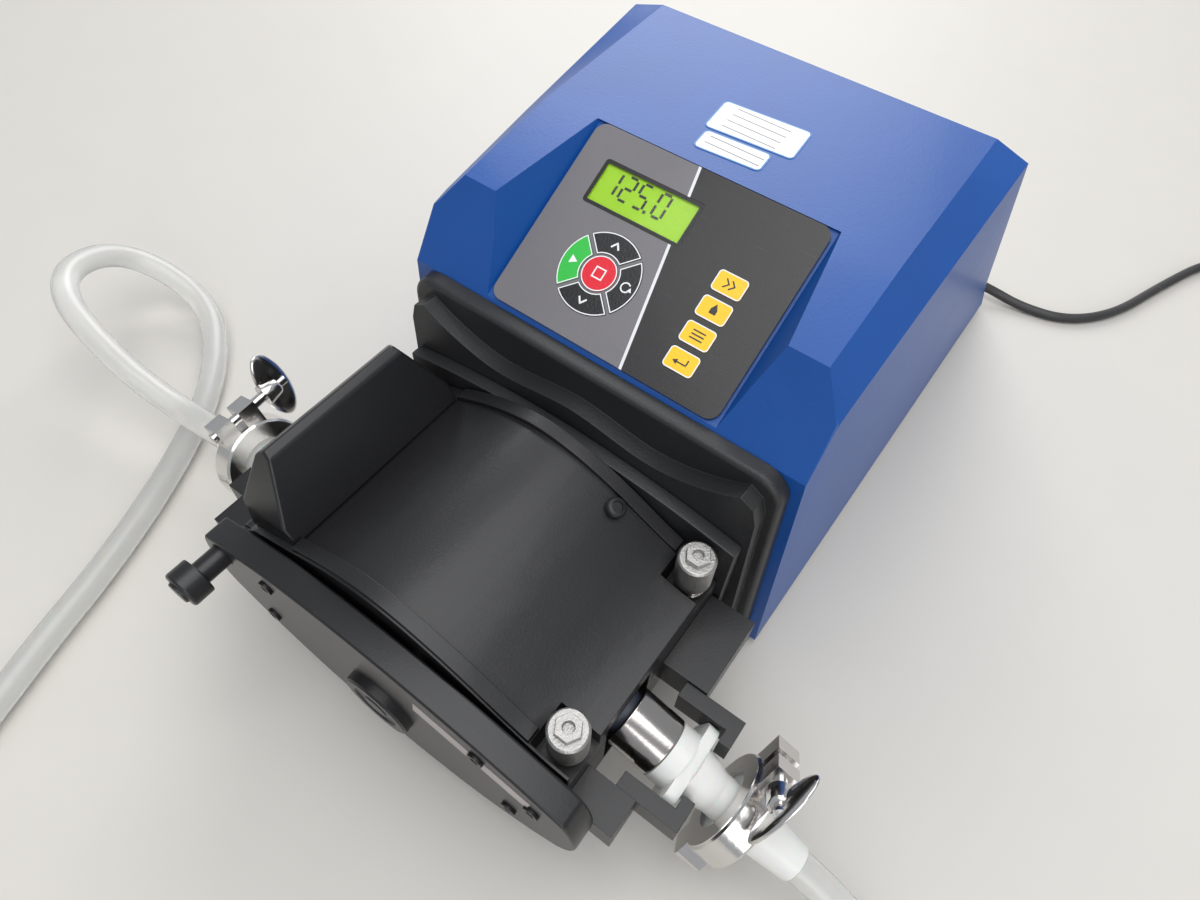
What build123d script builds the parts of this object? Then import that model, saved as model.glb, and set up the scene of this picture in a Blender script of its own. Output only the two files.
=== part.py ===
"""Case peristaltic pump: keypad drive unit, four-roller pumphead, tube element, hoses and mains lead.

Millimetres, +X right, +Y to the rear, +Z up. The rotor axis runs along Y at x = 0.
"""
import math
import os

from build123d import *

os.makedirs("parts", exist_ok=True)

# ---------------------------------------------------------------- driving dimensions
FRONT = -85.8                # front plane of the drive case
FLOOR = 5.0                  # height of the case above the table
WALL = 3.5
FOOT_HEIGHT = 5.0

KEY_SLOPE = 28.6             # keypad slope from the horizontal, degrees
KEY_WIDTH = 129.0
KEY_LENGTH = 102.0
KEY_THICK = 2.0
KEY_TOP_Y = FRONT + 90.5     # rear edge of the keypad
KEY_TOP_Z = 213.2

AXIS_Z = 68.0                # rotor axis
HEAD_REAR = FRONT - 26.0     # rear end of the track
HEAD_FRONT = FRONT - 144.0   # front end of the track
COVER_BACK = FRONT - 146.5
COVER_FACE = FRONT - 160.0
SPLIT_Z = 79.0               # top of the lower housing
TRACK_GAP = 0.4
HALF_BODY = 96.0             # half width of the lower housing
BLOCK_OUT = 121.0            # outer face of the right port blocks
LEFT_OUT = -130.0            # outer face of the left port blocks
PORT_Y = FRONT - 99.4        # tube centre plane
PORT_HALF = 28.8             # half length of the gap between port blocks
PORT_SLOPE = 18.0            # fall of the tube ends, degrees

TUBE_R = 11.0
TUBE_BORE = 6.35
TUBE_ARC = 48.0              # centre radius of the tube round the rotor
TRACK_R = 59.5
ROTOR_R = 34.0
ROLLER_R = 12.0
ROLLER_AT = 23.5
PIN_R = 4.0
SHAFT_R = 9.0

HINGE_X = -103.0
HINGE_Z = 86.0
HINGE_R = 6.0
NUT_X = 87.0
NUT_YS = (FRONT - 36.5, FRONT - 132.0)
NUT_R = 9.2

HOSE_R = 8.0
LEAD_R = 3.5


def finish(part, name):
    """Label one finished piece and write its STEP file."""
    part.label = name
    export_step(part, f"parts/{name}.step")


def across(y):
    """Plane with its normal towards the front, x to the right and y up, at depth y."""
    return Plane(origin=(0, y, 0), x_dir=(1, 0, 0), z_dir=(0, -1, 0))


# ---------------------------------------------------------------- drive case
# The rear wall leans forward; its fittings sit square on it.
rear_low = Vector(0, FRONT + 346.0, 26.0)
rear_high = Vector(0, FRONT + 194.0, 218.6)
rear_up = (rear_high - rear_low).normalized()
REAR_PLANE = Plane(origin=rear_low + rear_up * 62, x_dir=(-1, 0, 0), z_dir=Vector(-1, 0, 0).cross(rear_up))
SWITCH_SIZE = (13.0, 19.0)

# Cross-sections from front to rear: depth behind the front plane, half width at the foot,
# shoulder half width and height, ridge half width and height.
CASE_SECTIONS = (
    (0.0, 121.5, 112.0, 160.0, 111.4, 160.3),
    (16.5, 121.6, 111.6, 185.0, 110.6, 185.4),
    (26.0, 121.7, 111.8, 187.5, 97.4, 203.0),
    (90.0, 122.2, 113.3, 198.0, 97.5, 213.0),
    (194.0, 123.0, 115.8, 213.0, 97.6, 218.6),
    (346.0, 124.4, 120.0, 24.0, 104.0, 26.0),
)
CASE_DEPTH = CASE_SECTIONS[-1][0]

key_normal = Vector(0, -math.sin(math.radians(KEY_SLOPE)), math.cos(math.radians(KEY_SLOPE)))
key_down = Vector(0, -math.cos(math.radians(KEY_SLOPE)), -math.sin(math.radians(KEY_SLOPE)))
key_centre = Vector(0, KEY_TOP_Y, KEY_TOP_Z) + key_down * (KEY_LENGTH / 2)
KEY_PLANE = Plane(origin=key_centre, x_dir=(1, 0, 0), z_dir=key_normal)


def case_section(depth, foot, shoulder, shoulder_z, ridge, ridge_z, inset, drop):
    """One closed cross-section of the case, drawn on its own plane, inset for the hollow."""
    with BuildSketch(across(FRONT + depth)) as section:
        with BuildLine():
            Polyline(
                (-foot + inset, FLOOR if inset == 0 else FLOOR - 5),
                (foot - inset, FLOOR if inset == 0 else FLOOR - 5),
                (shoulder - inset, shoulder_z - drop),
                (ridge - inset, ridge_z - drop),
                (-ridge + inset, ridge_z - drop),
                (-shoulder + inset, shoulder_z - drop),
                close=True,
            )
        make_face()
    return section.sketch


with BuildPart() as hollow:
    hollow_depths = [WALL, 16.5, 26.0, 90.0, 190.0, CASE_DEPTH - 8]
    hollow_faces = []
    for hollow_depth, section in zip(hollow_depths, CASE_SECTIONS):
        hollow_faces.append(case_section(hollow_depth, *section[1:], WALL, 5.0))
    for near, far in zip(hollow_faces[:-1], hollow_faces[1:]):
        loft(sections=[near.faces()[0], far.faces()[0]], ruled=True)
    # the floor under the keypad recess stays solid
    with BuildSketch(KEY_PLANE.offset(-KEY_THICK - 3.0)):
        with Locations((0, -20)):
            Rectangle(172, KEY_LENGTH + 60)
    extrude(amount=60, mode=Mode.SUBTRACT)

with BuildPart() as case_cover:
    case_faces = [case_section(*numbers, 0, 0) for numbers in CASE_SECTIONS]
    for near, far in zip(case_faces[:-1], case_faces[1:]):
        loft(sections=[near.faces()[0], far.faces()[0]], ruled=True)
    add(hollow.part, mode=Mode.SUBTRACT)
    # keypad recess with splayed cheeks
    with BuildSketch(KEY_PLANE.offset(-KEY_THICK)) as recess_floor:
        with Locations((0, -20)):
            Rectangle(KEY_WIDTH + 3, KEY_LENGTH + 40.6)
    with BuildSketch(KEY_PLANE.offset(30)) as recess_mouth:
        with Locations((0, -20)):
            Rectangle(KEY_WIDTH + 36, KEY_LENGTH + 40.6)
    loft(sections=[recess_floor.sketch.faces()[0], recess_mouth.sketch.faces()[0]], mode=Mode.SUBTRACT)
    # display cut-out in the recess floor
    with BuildSketch(KEY_PLANE.offset(-KEY_THICK - 8)):
        with Locations((-22, KEY_LENGTH / 2 - 27.6)):
            Rectangle(54.5, 22.5)
    extrude(amount=9, mode=Mode.SUBTRACT)
    # shaft opening in the front wall
    with BuildSketch(across(FRONT + WALL + 1)):
        with Locations((0, AXIS_Z)):
            Circle(24)
    extrude(amount=WALL + 2, mode=Mode.SUBTRACT)
    # opening in the rear wall for the mains switch
    with BuildSketch(REAR_PLANE.offset(1)):
        with Locations((50, 0)):
            Rectangle(SWITCH_SIZE[0] + 0.8, SWITCH_SIZE[1] + 0.8)
    extrude(amount=-12, mode=Mode.SUBTRACT)
finish(case_cover.part, "case_cover")

# ---------------------------------------------------------------- base, feet, rear fittings
BASE_HALF = 117.0
with BuildPart() as base_pan:
    with BuildSketch(Plane.XY.offset(FLOOR)):
        with Locations((0, FRONT + 171)):
            RectangleRounded(2 * BASE_HALF, 332, 4)
    extrude(amount=3)
    # plinth that carries the gearbox
    with BuildSketch(Plane.XY.offset(FLOOR + 3)):
        with Locations((0, FRONT + 65)):
            Rectangle(110, 60)
    extrude(amount=AXIS_Z - 46 - FLOOR - 3)
finish(base_pan.part, "base_pan")

FOOT_SPOTS = [(x, FRONT + y) for x in (-98, 98) for y in (24, 316)]
with BuildPart() as feet:
    with BuildSketch(Plane.XY):
        with Locations(*FOOT_SPOTS):
            Circle(11)
    extrude(amount=FOOT_HEIGHT, taper=4)
finish(feet.part, "feet")

with BuildPart() as rear_panel:
    with BuildSketch(REAR_PLANE):
        RectangleRounded(150, 60, 4)
    extrude(amount=2)
    with BuildSketch(REAR_PLANE):
        with Locations((50, 0)):
            Rectangle(SWITCH_SIZE[0] + 0.8, SWITCH_SIZE[1] + 0.8)
    extrude(amount=2, mode=Mode.SUBTRACT)
finish(rear_panel.part, "rear_panel")

with BuildPart() as mains_switch:
    with BuildSketch(REAR_PLANE.offset(0.7)):
        with Locations((50, 0)):
            Rectangle(*SWITCH_SIZE)
    extrude(amount=3.5)
    fillet(mains_switch.edges().filter_by(Axis.X), 0.6)
finish(mains_switch.part, "mains_switch")

with BuildPart() as remote_socket:
    with BuildSketch(REAR_PLANE.offset(2)):
        with Locations((-20, 0)):
            RectangleRounded(54, 13, 3)
    extrude(amount=5)
    with BuildSketch(REAR_PLANE.offset(4)):
        with Locations((-20, 0)):
            RectangleRounded(46, 8, 2)
    extrude(amount=3, mode=Mode.SUBTRACT)
finish(remote_socket.part, "remote_socket")

# ---------------------------------------------------------------- front bezel
BEZEL_DEPTH = 9.0
BEZEL_STEP = 18.0
with BuildPart() as front_bezel:
    with BuildSketch(across(FRONT)) as bezel_outline:
        with BuildLine():
            Polyline((-115, FLOOR + 2), (115, FLOOR + 2), (107, 161), (-107, 161), close=True)
        make_face()
        fillet(bezel_outline.vertices().group_by(Axis.Z)[-1], 15)
    extrude(amount=BEZEL_DEPTH)
    fillet(front_bezel.faces().sort_by(Axis.Y)[0].edges(), 3)
    with BuildSketch(across(FRONT - BEZEL_DEPTH)):
        with BuildLine():
            wave = Spline((-92, 154), (-68, 142), (-45, 137.5), (0, 143), (45, 137.5), (68, 142), (92, 154))
            Polyline(wave @ 1, (99, 150), (102, 140), (108.5, FLOOR + 6), (-108.5, FLOOR + 6), (-102, 140),
                     (-99, 150), wave @ 0)
        make_face()
    extrude(amount=BEZEL_STEP - BEZEL_DEPTH)
    with BuildSketch(across(FRONT + 1)):
        with Locations((0, AXIS_Z)):
            Circle(22)
    extrude(amount=BEZEL_STEP + 2, mode=Mode.SUBTRACT)
finish(front_bezel.part, "front_bezel")

# ---------------------------------------------------------------- keypad and display
CLUSTER = (-20.8, KEY_LENGTH / 2 - 67.5)
STOP_R = 8.9
RING_IN = 10.2
RING_OUT = 21.0
KEY_GAP = 0.3
LCD_AT = (-22.0, KEY_LENGTH / 2 - 27.6)
LCD_SIZE = (56.0, 24.0)
SIDE_KEY = (15.5, 10.6)
SIDE_KEY_X = 36.8
SIDE_KEY_STEPS = {"key_max": 43.9, "key_dose": 57.5, "key_menu": 71.2, "key_enter": 84.9}
RING_KEYS = {"key_direction": 0, "key_up": 90, "key_start": 180, "key_down": 270}
KEY_LOW = -1.2
KEY_PROUD = 0.35


def ring_segment(grow):
    """Quarter of the key ring centred on +X, enlarged all round by grow."""
    with BuildSketch() as segment:
        Circle(RING_OUT + grow)
        Circle(RING_IN - grow, mode=Mode.SUBTRACT)
        with Locations((RING_OUT, 0)):
            Rectangle(2 * RING_OUT, 4 * RING_OUT, mode=Mode.INTERSECT)
        with BuildLine():
            reach = 2 * RING_OUT
            tip = 1.5 - 1.42 * grow
            Polyline((tip, 0), (reach, reach - tip), (reach, tip - reach), close=True)
        make_face(mode=Mode.INTERSECT)
    return segment.sketch


with BuildPart() as keypad_plate:
    with BuildSketch(KEY_PLANE.offset(-KEY_THICK)):
        RectangleRounded(KEY_WIDTH, KEY_LENGTH - 0.4, 6)
        with Locations(LCD_AT):
            RectangleRounded(LCD_SIZE[0] + 0.2, LCD_SIZE[1] + 0.2, 2, mode=Mode.SUBTRACT)
        with Locations(CLUSTER):
            Circle(STOP_R + KEY_GAP, mode=Mode.SUBTRACT)
        for turn in RING_KEYS.values():
            add(ring_segment(KEY_GAP).rotate(Axis.Z, turn).moved(Location(CLUSTER + (0,))),
                mode=Mode.SUBTRACT)
        for step in SIDE_KEY_STEPS.values():
            with Locations((SIDE_KEY_X, KEY_LENGTH / 2 - step)):
                RectangleRounded(SIDE_KEY[0] + 2 * KEY_GAP, SIDE_KEY[1] + 2 * KEY_GAP, 2.3,
                                 mode=Mode.SUBTRACT)
    extrude(amount=KEY_THICK)
finish(keypad_plate.part, "keypad_plate")

with BuildPart() as key_stop:
    with BuildSketch(KEY_PLANE.offset(KEY_LOW)):
        with Locations(CLUSTER):
            Circle(STOP_R)
    extrude(amount=KEY_PROUD - KEY_LOW)
finish(key_stop.part, "key_stop")

for key_name, turn in RING_KEYS.items():
    with BuildPart() as ring_key:
        with BuildSketch(KEY_PLANE.offset(KEY_LOW)):
            add(ring_segment(0).rotate(Axis.Z, turn).moved(Location(CLUSTER + (0,))))
        extrude(amount=KEY_PROUD - KEY_LOW)
    finish(ring_key.part, key_name)

for key_name, step in SIDE_KEY_STEPS.items():
    with BuildPart() as side_key:
        with BuildSketch(KEY_PLANE.offset(KEY_LOW)):
            with Locations((SIDE_KEY_X, KEY_LENGTH / 2 - step)):
                RectangleRounded(*SIDE_KEY, 2)
        extrude(amount=KEY_PROUD - KEY_LOW)
    finish(side_key.part, key_name)

with BuildPart() as lcd_window:
    with BuildSketch(KEY_PLANE.offset(-1.1)):
        with Locations(LCD_AT):
            RectangleRounded(*LCD_SIZE, 1.9)
    extrude(amount=1)
finish(lcd_window.part, "lcd_window")

with BuildPart() as lcd_module:
    with BuildSketch(KEY_PLANE.offset(-13)):
        with Locations(LCD_AT):
            Rectangle(66, 34)
    extrude(amount=7.9)
    with BuildSketch(KEY_PLANE.offset(-6)):
        with Locations(LCD_AT):
            Rectangle(54, 22)
    extrude(amount=4.8)
finish(lcd_module.part, "lcd_module")

with BuildPart() as control_board:
    with BuildSketch(KEY_PLANE.offset(-14.6)):
        with Locations((0, -4)):
            Rectangle(124, 84)
    extrude(amount=1.6)
finish(control_board.part, "control_board")

# ---------------------------------------------------------------- asset labels on the top face
LABELS = (((1.0, 130.5), (48, 24), 4), ((-1.0, 109.5), (36, 14.5), 4))
top_rise = (218.6 - 213.0) / (194.0 - 90.0)
top_tilt = math.atan(top_rise)
with BuildPart() as asset_labels:
    for (label_x, label_depth), label_size, label_turn in LABELS:
        label_spot = Vector(label_x, FRONT + label_depth, 213.0 + top_rise * (label_depth - 90.0))
        label_plane = Plane(origin=label_spot, x_dir=(1, 0, 0),
                            z_dir=(0, -math.sin(top_tilt), math.cos(top_tilt)))
        with BuildSketch(label_plane):
            RectangleRounded(*label_size, 3, rotation=label_turn)
        extrude(amount=0.3)
finish(asset_labels.part, "asset_labels")

# ---------------------------------------------------------------- drive train and electronics
with BuildPart() as gearbox:
    with BuildSketch(across(FRONT + 100)):
        with Locations((0, AXIS_Z)):
            RectangleRounded(92, 92, 10)
    extrude(amount=70)
    with BuildSketch(across(FRONT + 101)):
        with Locations((0, AXIS_Z)):
            Circle(12)
    extrude(amount=72, mode=Mode.SUBTRACT)
finish(gearbox.part, "gearbox")

with BuildPart() as motor:
    with BuildSketch(across(FRONT + 240)):
        with Locations((0, AXIS_Z)):
            Circle(42)
    extrude(amount=130)
    fillet(motor.faces().sort_by(Axis.Y)[-1].edges(), 6)
    with BuildSketch(across(FRONT + 115)):
        with Locations((0, AXIS_Z)):
            Circle(40)
    extrude(amount=15)
finish(motor.part, "motor")

with BuildPart() as power_supply:
    with BuildSketch(Plane.XY.offset(FLOOR + 3)):
        with Locations((78, FRONT + 190)):
            RectangleRounded(56, 120, 4)
    extrude(amount=78)
finish(power_supply.part, "power_supply")

# ---------------------------------------------------------------- pumphead lower housing
with BuildPart() as head_flange:
    with BuildSketch(across(FRONT - BEZEL_STEP)):
        with BuildLine():
            crown = ThreePointArc((-100, 120), (0, 131), (100, 120))
            Polyline(crown @ 1, (100, 40), (70, 18), (-70, 18), (-100, 40), crown @ 0)
        make_face()
        with Locations((0, AXIS_Z)):
            Circle(17, mode=Mode.SUBTRACT)
    extrude(amount=7.5)
finish(head_flange.part, "head_flange")

port_dir = Vector(math.cos(math.radians(PORT_SLOPE)), 0, -math.sin(math.radians(PORT_SLOPE)))
BEND_R = 60.0
tube_arc_x = TUBE_ARC * math.cos(math.radians(45))
tube_arc_z = AXIS_Z + TUBE_ARC * math.sin(math.radians(45))
bend_x = tube_arc_x + BEND_R * (math.sin(math.radians(45)) - math.sin(math.radians(PORT_SLOPE)))
bend_z = tube_arc_z - BEND_R * (math.cos(math.radians(PORT_SLOPE)) - math.cos(math.radians(45)))


def port_z(x):
    """Height of the tube centre line at the port, for a distance x from the axis."""
    return bend_z - (x - bend_x) * math.tan(math.radians(PORT_SLOPE))


ARM_THICK = 8.0
ARM_OUT = 142.0
HOOK = 6.6
port_rear = PORT_Y + PORT_HALF
port_front = PORT_Y - PORT_HALF
BLOCK_LOW = 58.0
LUG_SPANS = ((COVER_BACK, COVER_BACK + 4.6), (port_front - 5.0, port_front), (FRONT - 33.0, FRONT - 27.0),
             (FRONT - 52.0, FRONT - 45.4))

with BuildPart() as head_body:
    with BuildSketch(across(FRONT - 25.5)):
        with BuildLine():
            keel = ThreePointArc((HALF_BODY, 50), (0, 16), (-HALF_BODY, 50))
            Polyline(keel @ 1, (-HALF_BODY, SPLIT_Z), (HALF_BODY, SPLIT_Z), keel @ 0)
        make_face()
    extrude(amount=FRONT - 25.5 - COVER_BACK)
    # rotor chamber, shaft passage, tube channels and stud holes
    with BuildSketch(across(FRONT - 42)):
        with Locations((0, AXIS_Z)):
            Circle(40)
    extrude(amount=96, mode=Mode.SUBTRACT)
    with BuildSketch(across(FRONT - 20)):
        with Locations((0, AXIS_Z)):
            Circle(13)
    extrude(amount=130, mode=Mode.SUBTRACT)
    for side in (-1, 1):
        with BuildSketch(across(PORT_Y + 12.5)):
            with BuildLine():
                Polyline((side * 42, SPLIT_Z + 1), (side * 42, port_z(42) - 13.2),
                         (side * 100, port_z(100) - 13.2),
                         (side * 100, SPLIT_Z + 1), close=True)
            make_face()
        extrude(amount=25, mode=Mode.SUBTRACT)
        with BuildSketch(Plane.XY.offset(52)):
            with Locations((side * 95, PORT_Y)):
                Rectangle(14, 33)
        extrude(amount=40, mode=Mode.SUBTRACT)
    for nut_y in NUT_YS:
        with BuildSketch(Plane.XY.offset(SPLIT_Z - 16)):
            with Locations((NUT_X, nut_y)):
                Circle(4.4)
        extrude(amount=20, mode=Mode.SUBTRACT)
finish(head_body.part, "head_body")

HINGE_PIN_R = 2.5
port_blocks = []
for block_rear, block_front in ((FRONT - 27.0, port_rear), (port_front, COVER_BACK)):
    for side, outer in ((1, BLOCK_OUT), (-1, -LEFT_OUT)):
        with BuildPart() as port_block:
            with BuildSketch(Plane.XY.offset(BLOCK_LOW)):
                with Locations((side * (HALF_BODY + outer) / 2, (block_rear + block_front) / 2)):
                    Rectangle(outer - HALF_BODY, block_rear - block_front)
            extrude(amount=SPLIT_Z - BLOCK_LOW)
            # hinge lugs stand on the left blocks
            for lug_front, lug_rear in LUG_SPANS:
                if side < 0 and block_front <= lug_front < block_rear:
                    with BuildSketch(across(lug_rear)):
                        with Locations((HINGE_X, HINGE_Z)):
                            Circle(HINGE_R)
                        with Locations((HINGE_X, (HINGE_Z + SPLIT_Z) / 2 - 2)):
                            Rectangle(2 * HINGE_R, HINGE_Z - SPLIT_Z + 4)
                        with Locations((HINGE_X, HINGE_Z)):
                            Circle(HINGE_PIN_R, mode=Mode.SUBTRACT)
                    extrude(amount=lug_rear - lug_front)
        port_blocks.append(port_block.part)
for side in (-1, 1):
    for face_y, inward in ((port_rear, -1), (port_front, 1)):
        # hooked arm that holds a port fitting
        with BuildPart() as port_arm:
            with BuildSketch(Plane.XY.offset(BLOCK_LOW + 2)):
                with Locations((side * (ARM_OUT + 110) / 2, face_y + inward * ARM_THICK / 2)):
                    Rectangle(ARM_OUT - 110, ARM_THICK)
                with Locations((side * (ARM_OUT - 3), face_y + inward * (ARM_THICK + HOOK / 2))):
                    Rectangle(6, HOOK)
            extrude(amount=SPLIT_Z - 4 - BLOCK_LOW)
        port_blocks.append(port_arm.part)
finish(Compound(children=port_blocks), "port_blocks")

# ---------------------------------------------------------------- front cover
KNOB_X = -96.0
KNOB_Z = 100.0
with BuildPart() as front_cover:
    with BuildSketch(across(COVER_BACK)):
        with BuildLine():
            ThreePointArc((-106, 107), (0, 128), (106, 107))
            ThreePointArc((106, 107), (112, 84), (104, 60))
            ThreePointArc((104, 60), (0, 18), (-104, 60))
            ThreePointArc((-104, 60), (-112, 84), (-106, 107))
        make_face()
        with Locations((0, AXIS_Z)):
            Circle(16, mode=Mode.SUBTRACT)
        with Locations((KNOB_X, KNOB_Z)):
            Circle(6.3, mode=Mode.SUBTRACT)
    extrude(amount=COVER_BACK - COVER_FACE)
finish(front_cover.part, "front_cover")

HUB_R = 19.0
with BuildPart() as hub_cap:
    with BuildSketch(across(COVER_FACE)):
        with Locations((0, AXIS_Z)):
            Circle(HUB_R)
    extrude(amount=5)
    fillet(hub_cap.faces().sort_by(Axis.Y)[0].edges(), 1.5)
finish(hub_cap.part, "hub_cap")

SCREW_SPOTS = ((-76, 60), (76, 60), (-62, 108), (62, 108), (90, 92))
with BuildPart() as head_fasteners:
    with BuildSketch(across(COVER_FACE)):
        with Locations(*SCREW_SPOTS):
            Circle(4.0)
    extrude(amount=1.6)
    with BuildSketch(across(COVER_FACE - 0.6)):
        with Locations(*SCREW_SPOTS):
            RegularPolygon(2.3, 6)
    extrude(amount=2, mode=Mode.SUBTRACT)
    # hinge pins, one each side of the port
    for pin_rear, pin_long in ((FRONT - 27.0, 25.0), (port_front, port_front - COVER_BACK)):
        with BuildSketch(across(pin_rear)):
            with Locations((HINGE_X, HINGE_Z)):
                Circle(HINGE_PIN_R)
        extrude(amount=pin_long)
finish(head_fasteners.part, "head_fasteners")

with BuildPart() as pull_knob:
    with BuildSketch(across(COVER_BACK - 0.5)):
        with Locations((KNOB_X, KNOB_Z)):
            Circle(5.9)
    extrude(amount=26)
    with BuildSketch(across(FRONT - 173)):
        with Locations((KNOB_X, KNOB_Z)):
            Circle(9.8)
    extrude(amount=11)
    fillet(pull_knob.faces().sort_by(Axis.Y)[0].edges(), 1.5)
    with BuildSketch(across(FRONT - 184)):
        with Locations((KNOB_X, KNOB_Z)):
            Circle(6)
    extrude(amount=1.5)
finish(pull_knob.part, "pull_knob")

# ---------------------------------------------------------------- bearings, rotor and rollers
with BuildPart() as bearings:
    for bearing_rear, bearing_long, bearing_r in ((FRONT - 18, 7.5, 17), (COVER_BACK, 11, 16)):
        with BuildSketch(across(bearing_rear)):
            with Locations((0, AXIS_Z)):
                Circle(bearing_r)
                Circle(SHAFT_R + 0.05, mode=Mode.SUBTRACT)
        extrude(amount=bearing_long)
finish(bearings.part, "bearings")

ROLLER_TURNS = (0, 90, 180, 270)
roller_spots = []
for roller_turn in ROLLER_TURNS:
    roller_angle = math.radians(roller_turn)
    roller_spots.append((ROLLER_AT * math.cos(roller_angle), AXIS_Z + ROLLER_AT * math.sin(roller_angle)))
DISC_REAR = FRONT - 44.0
DISC_FRONT = FRONT - 136.0
DISC_THICK = 6.0
with BuildPart() as rotor:
    with BuildSketch(across(FRONT + 26)):
        with Locations((0, AXIS_Z)):
            Circle(SHAFT_R)
    extrude(amount=FRONT + 26 - COVER_BACK + 10)
    for disc_rear in (DISC_REAR, DISC_FRONT + DISC_THICK):
        with BuildSketch(across(disc_rear)):
            with Locations((0, AXIS_Z)):
                Circle(ROTOR_R)
        extrude(amount=DISC_THICK)
    with BuildSketch(across(DISC_REAR - 1)):
        with Locations(*roller_spots):
            Circle(PIN_R)
    extrude(amount=DISC_REAR - DISC_FRONT - 2)
finish(rotor.part, "rotor")

for roller_number, roller_spot in enumerate(roller_spots, start=1):
    with BuildPart() as roller:
        with BuildSketch(across(DISC_REAR - DISC_THICK - 0.4)):
            with Locations(roller_spot):
                Circle(ROLLER_R)
                Circle(PIN_R + 0.05, mode=Mode.SUBTRACT)
        extrude(amount=DISC_REAR - DISC_FRONT - 2 * DISC_THICK - 0.8)
        chamfer(roller.edges().filter_by(GeomType.CIRCLE).group_by(SortBy.RADIUS)[-1], 1)
    finish(roller.part, f"roller_{roller_number}")

# ---------------------------------------------------------------- hinged track with its handle
HANDLE_FOOT_X = -60.0
TRACK_LOW = SPLIT_Z + TRACK_GAP
TRACK_CROWN = ((-60, 119), (-35, 131), (-8, 137), (20, 133), (42, 124.5), (68, 111.5), (96, 103))
NUT_SEAT = 92.0
KNUCKLES = ((COVER_BACK + 5.0, port_front - 5.4), (FRONT - 45.0, FRONT - 33.4))
RIM_RISE = 3.0


def crown_sketch(y, low, rise, right):
    """Area between a level and the track's crown raised by rise, from the handle to x = right."""
    with BuildSketch(across(y)) as area:
        with BuildLine():
            top = Spline(*[(x, z + rise) for x, z in TRACK_CROWN])
            Polyline(top @ 1, (top.position_at(1).X, low), (HANDLE_FOOT_X, low), top @ 0)
        make_face()
        if right < HALF_BODY:
            with Locations((right + 100, 100)):
                Rectangle(200, 200, mode=Mode.SUBTRACT)
    return area.sketch


with BuildPart() as track:
    crown_face = crown_sketch(HEAD_REAR, TRACK_LOW, 0, HALF_BODY)
    extrude(crown_face, amount=HEAD_REAR - HEAD_FRONT, dir=(0, -1, 0))
    with BuildSketch(across(HEAD_REAR)):
        with BuildLine():
            Polyline((HANDLE_FOOT_X, TRACK_LOW), (HANDLE_FOOT_X, 119), (-90, 106), (-96.4, 100),
                     (-96.4, TRACK_LOW),
                     close=True)
        make_face()
    extrude(amount=HEAD_REAR - HEAD_FRONT)
    # raised rims at both ends
    for rim_rear in (HEAD_REAR - 1, HEAD_FRONT + 8):
        rim_face = crown_sketch(rim_rear, 105, RIM_RISE, 75)
        extrude(rim_face, amount=7, dir=(0, -1, 0))
    # hinge knuckles
    for knuckle_front, knuckle_rear in KNUCKLES:
        with BuildSketch(across(knuckle_rear)):
            with Locations((HINGE_X, HINGE_Z)):
                Circle(HINGE_R)
            with Locations(((HINGE_X - 95) / 2, HINGE_Z)):
                Rectangle(-95 - HINGE_X, 2 * HINGE_R - 1)
        extrude(amount=knuckle_rear - knuckle_front)
        with BuildSketch(across(knuckle_rear)):
            with Locations((HINGE_X, HINGE_Z)):
                Circle(2.55)
        extrude(amount=knuckle_rear - knuckle_front, mode=Mode.SUBTRACT)
    # working face round the rotor, shaft passage and tube channels
    with BuildSketch(across(FRONT - 42)):
        with Locations((0, AXIS_Z)):
            Circle(TRACK_R)
    extrude(amount=96, mode=Mode.SUBTRACT)
    with BuildSketch(across(FRONT - 20)):
        with Locations((0, AXIS_Z)):
            Circle(13)
    extrude(amount=130, mode=Mode.SUBTRACT)
    for side in (-1, 1):
        with BuildSketch(across(PORT_Y + 13)):
            with BuildLine():
                Polyline((side * 34, 70), (side * 34, 118), (side * 44, 110.5), (side * 61.5, 100),
                         (side * 110, port_z(110) + 14), (side * 110, 70), close=True)
            make_face()
        extrude(amount=26, mode=Mode.SUBTRACT)
        with BuildSketch(Plane.XY.offset(70)):
            with Locations((side * 95, PORT_Y)):
                Rectangle(14, 33)
        extrude(amount=22, mode=Mode.SUBTRACT)
    # seats and stud holes for the lock nuts
    for nut_y in NUT_YS:
        with BuildSketch(Plane.XY.offset(NUT_SEAT)):
            with Locations((NUT_X + 4, nut_y)):
                Rectangle(31, 21)
        extrude(amount=40, mode=Mode.SUBTRACT)
        with BuildSketch(Plane.XY.offset(70)):
            with Locations((NUT_X, nut_y)):
                Circle(3.6)
        extrude(amount=40, mode=Mode.SUBTRACT)
finish(track.part, "track")

HANDLE_ENDS = (FRONT - 33.5, FRONT - 140.5)
HANDLE_CHAMFER = 15.0
with BuildPart() as track_handle:
    with BuildSketch(across(HANDLE_ENDS[0])):
        with BuildLine():
            Polyline((-60, 119), (-78.5, 155), (-83, 157.5), (-88, 153), (-96.4, 108), (-96.4, 100),
                     (-90, 106),
                     close=True)
        make_face()
    extrude(amount=HANDLE_ENDS[0] - HANDLE_ENDS[1])
    for end_y, inward in ((HANDLE_ENDS[0], -1), (HANDLE_ENDS[1], 1)):
        with BuildSketch(Plane.YZ.offset(-120)):
            with BuildLine():
                Polyline((end_y, 128), (end_y, 170), (end_y + inward * HANDLE_CHAMFER * 1.4, 170),
                         close=True)
            make_face()
        extrude(amount=80, mode=Mode.SUBTRACT)
    fillet(track_handle.edges().filter_by(Axis.Y).group_by(Axis.Z)[-1], 1.5)
finish(track_handle.part, "track_handle")

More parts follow.
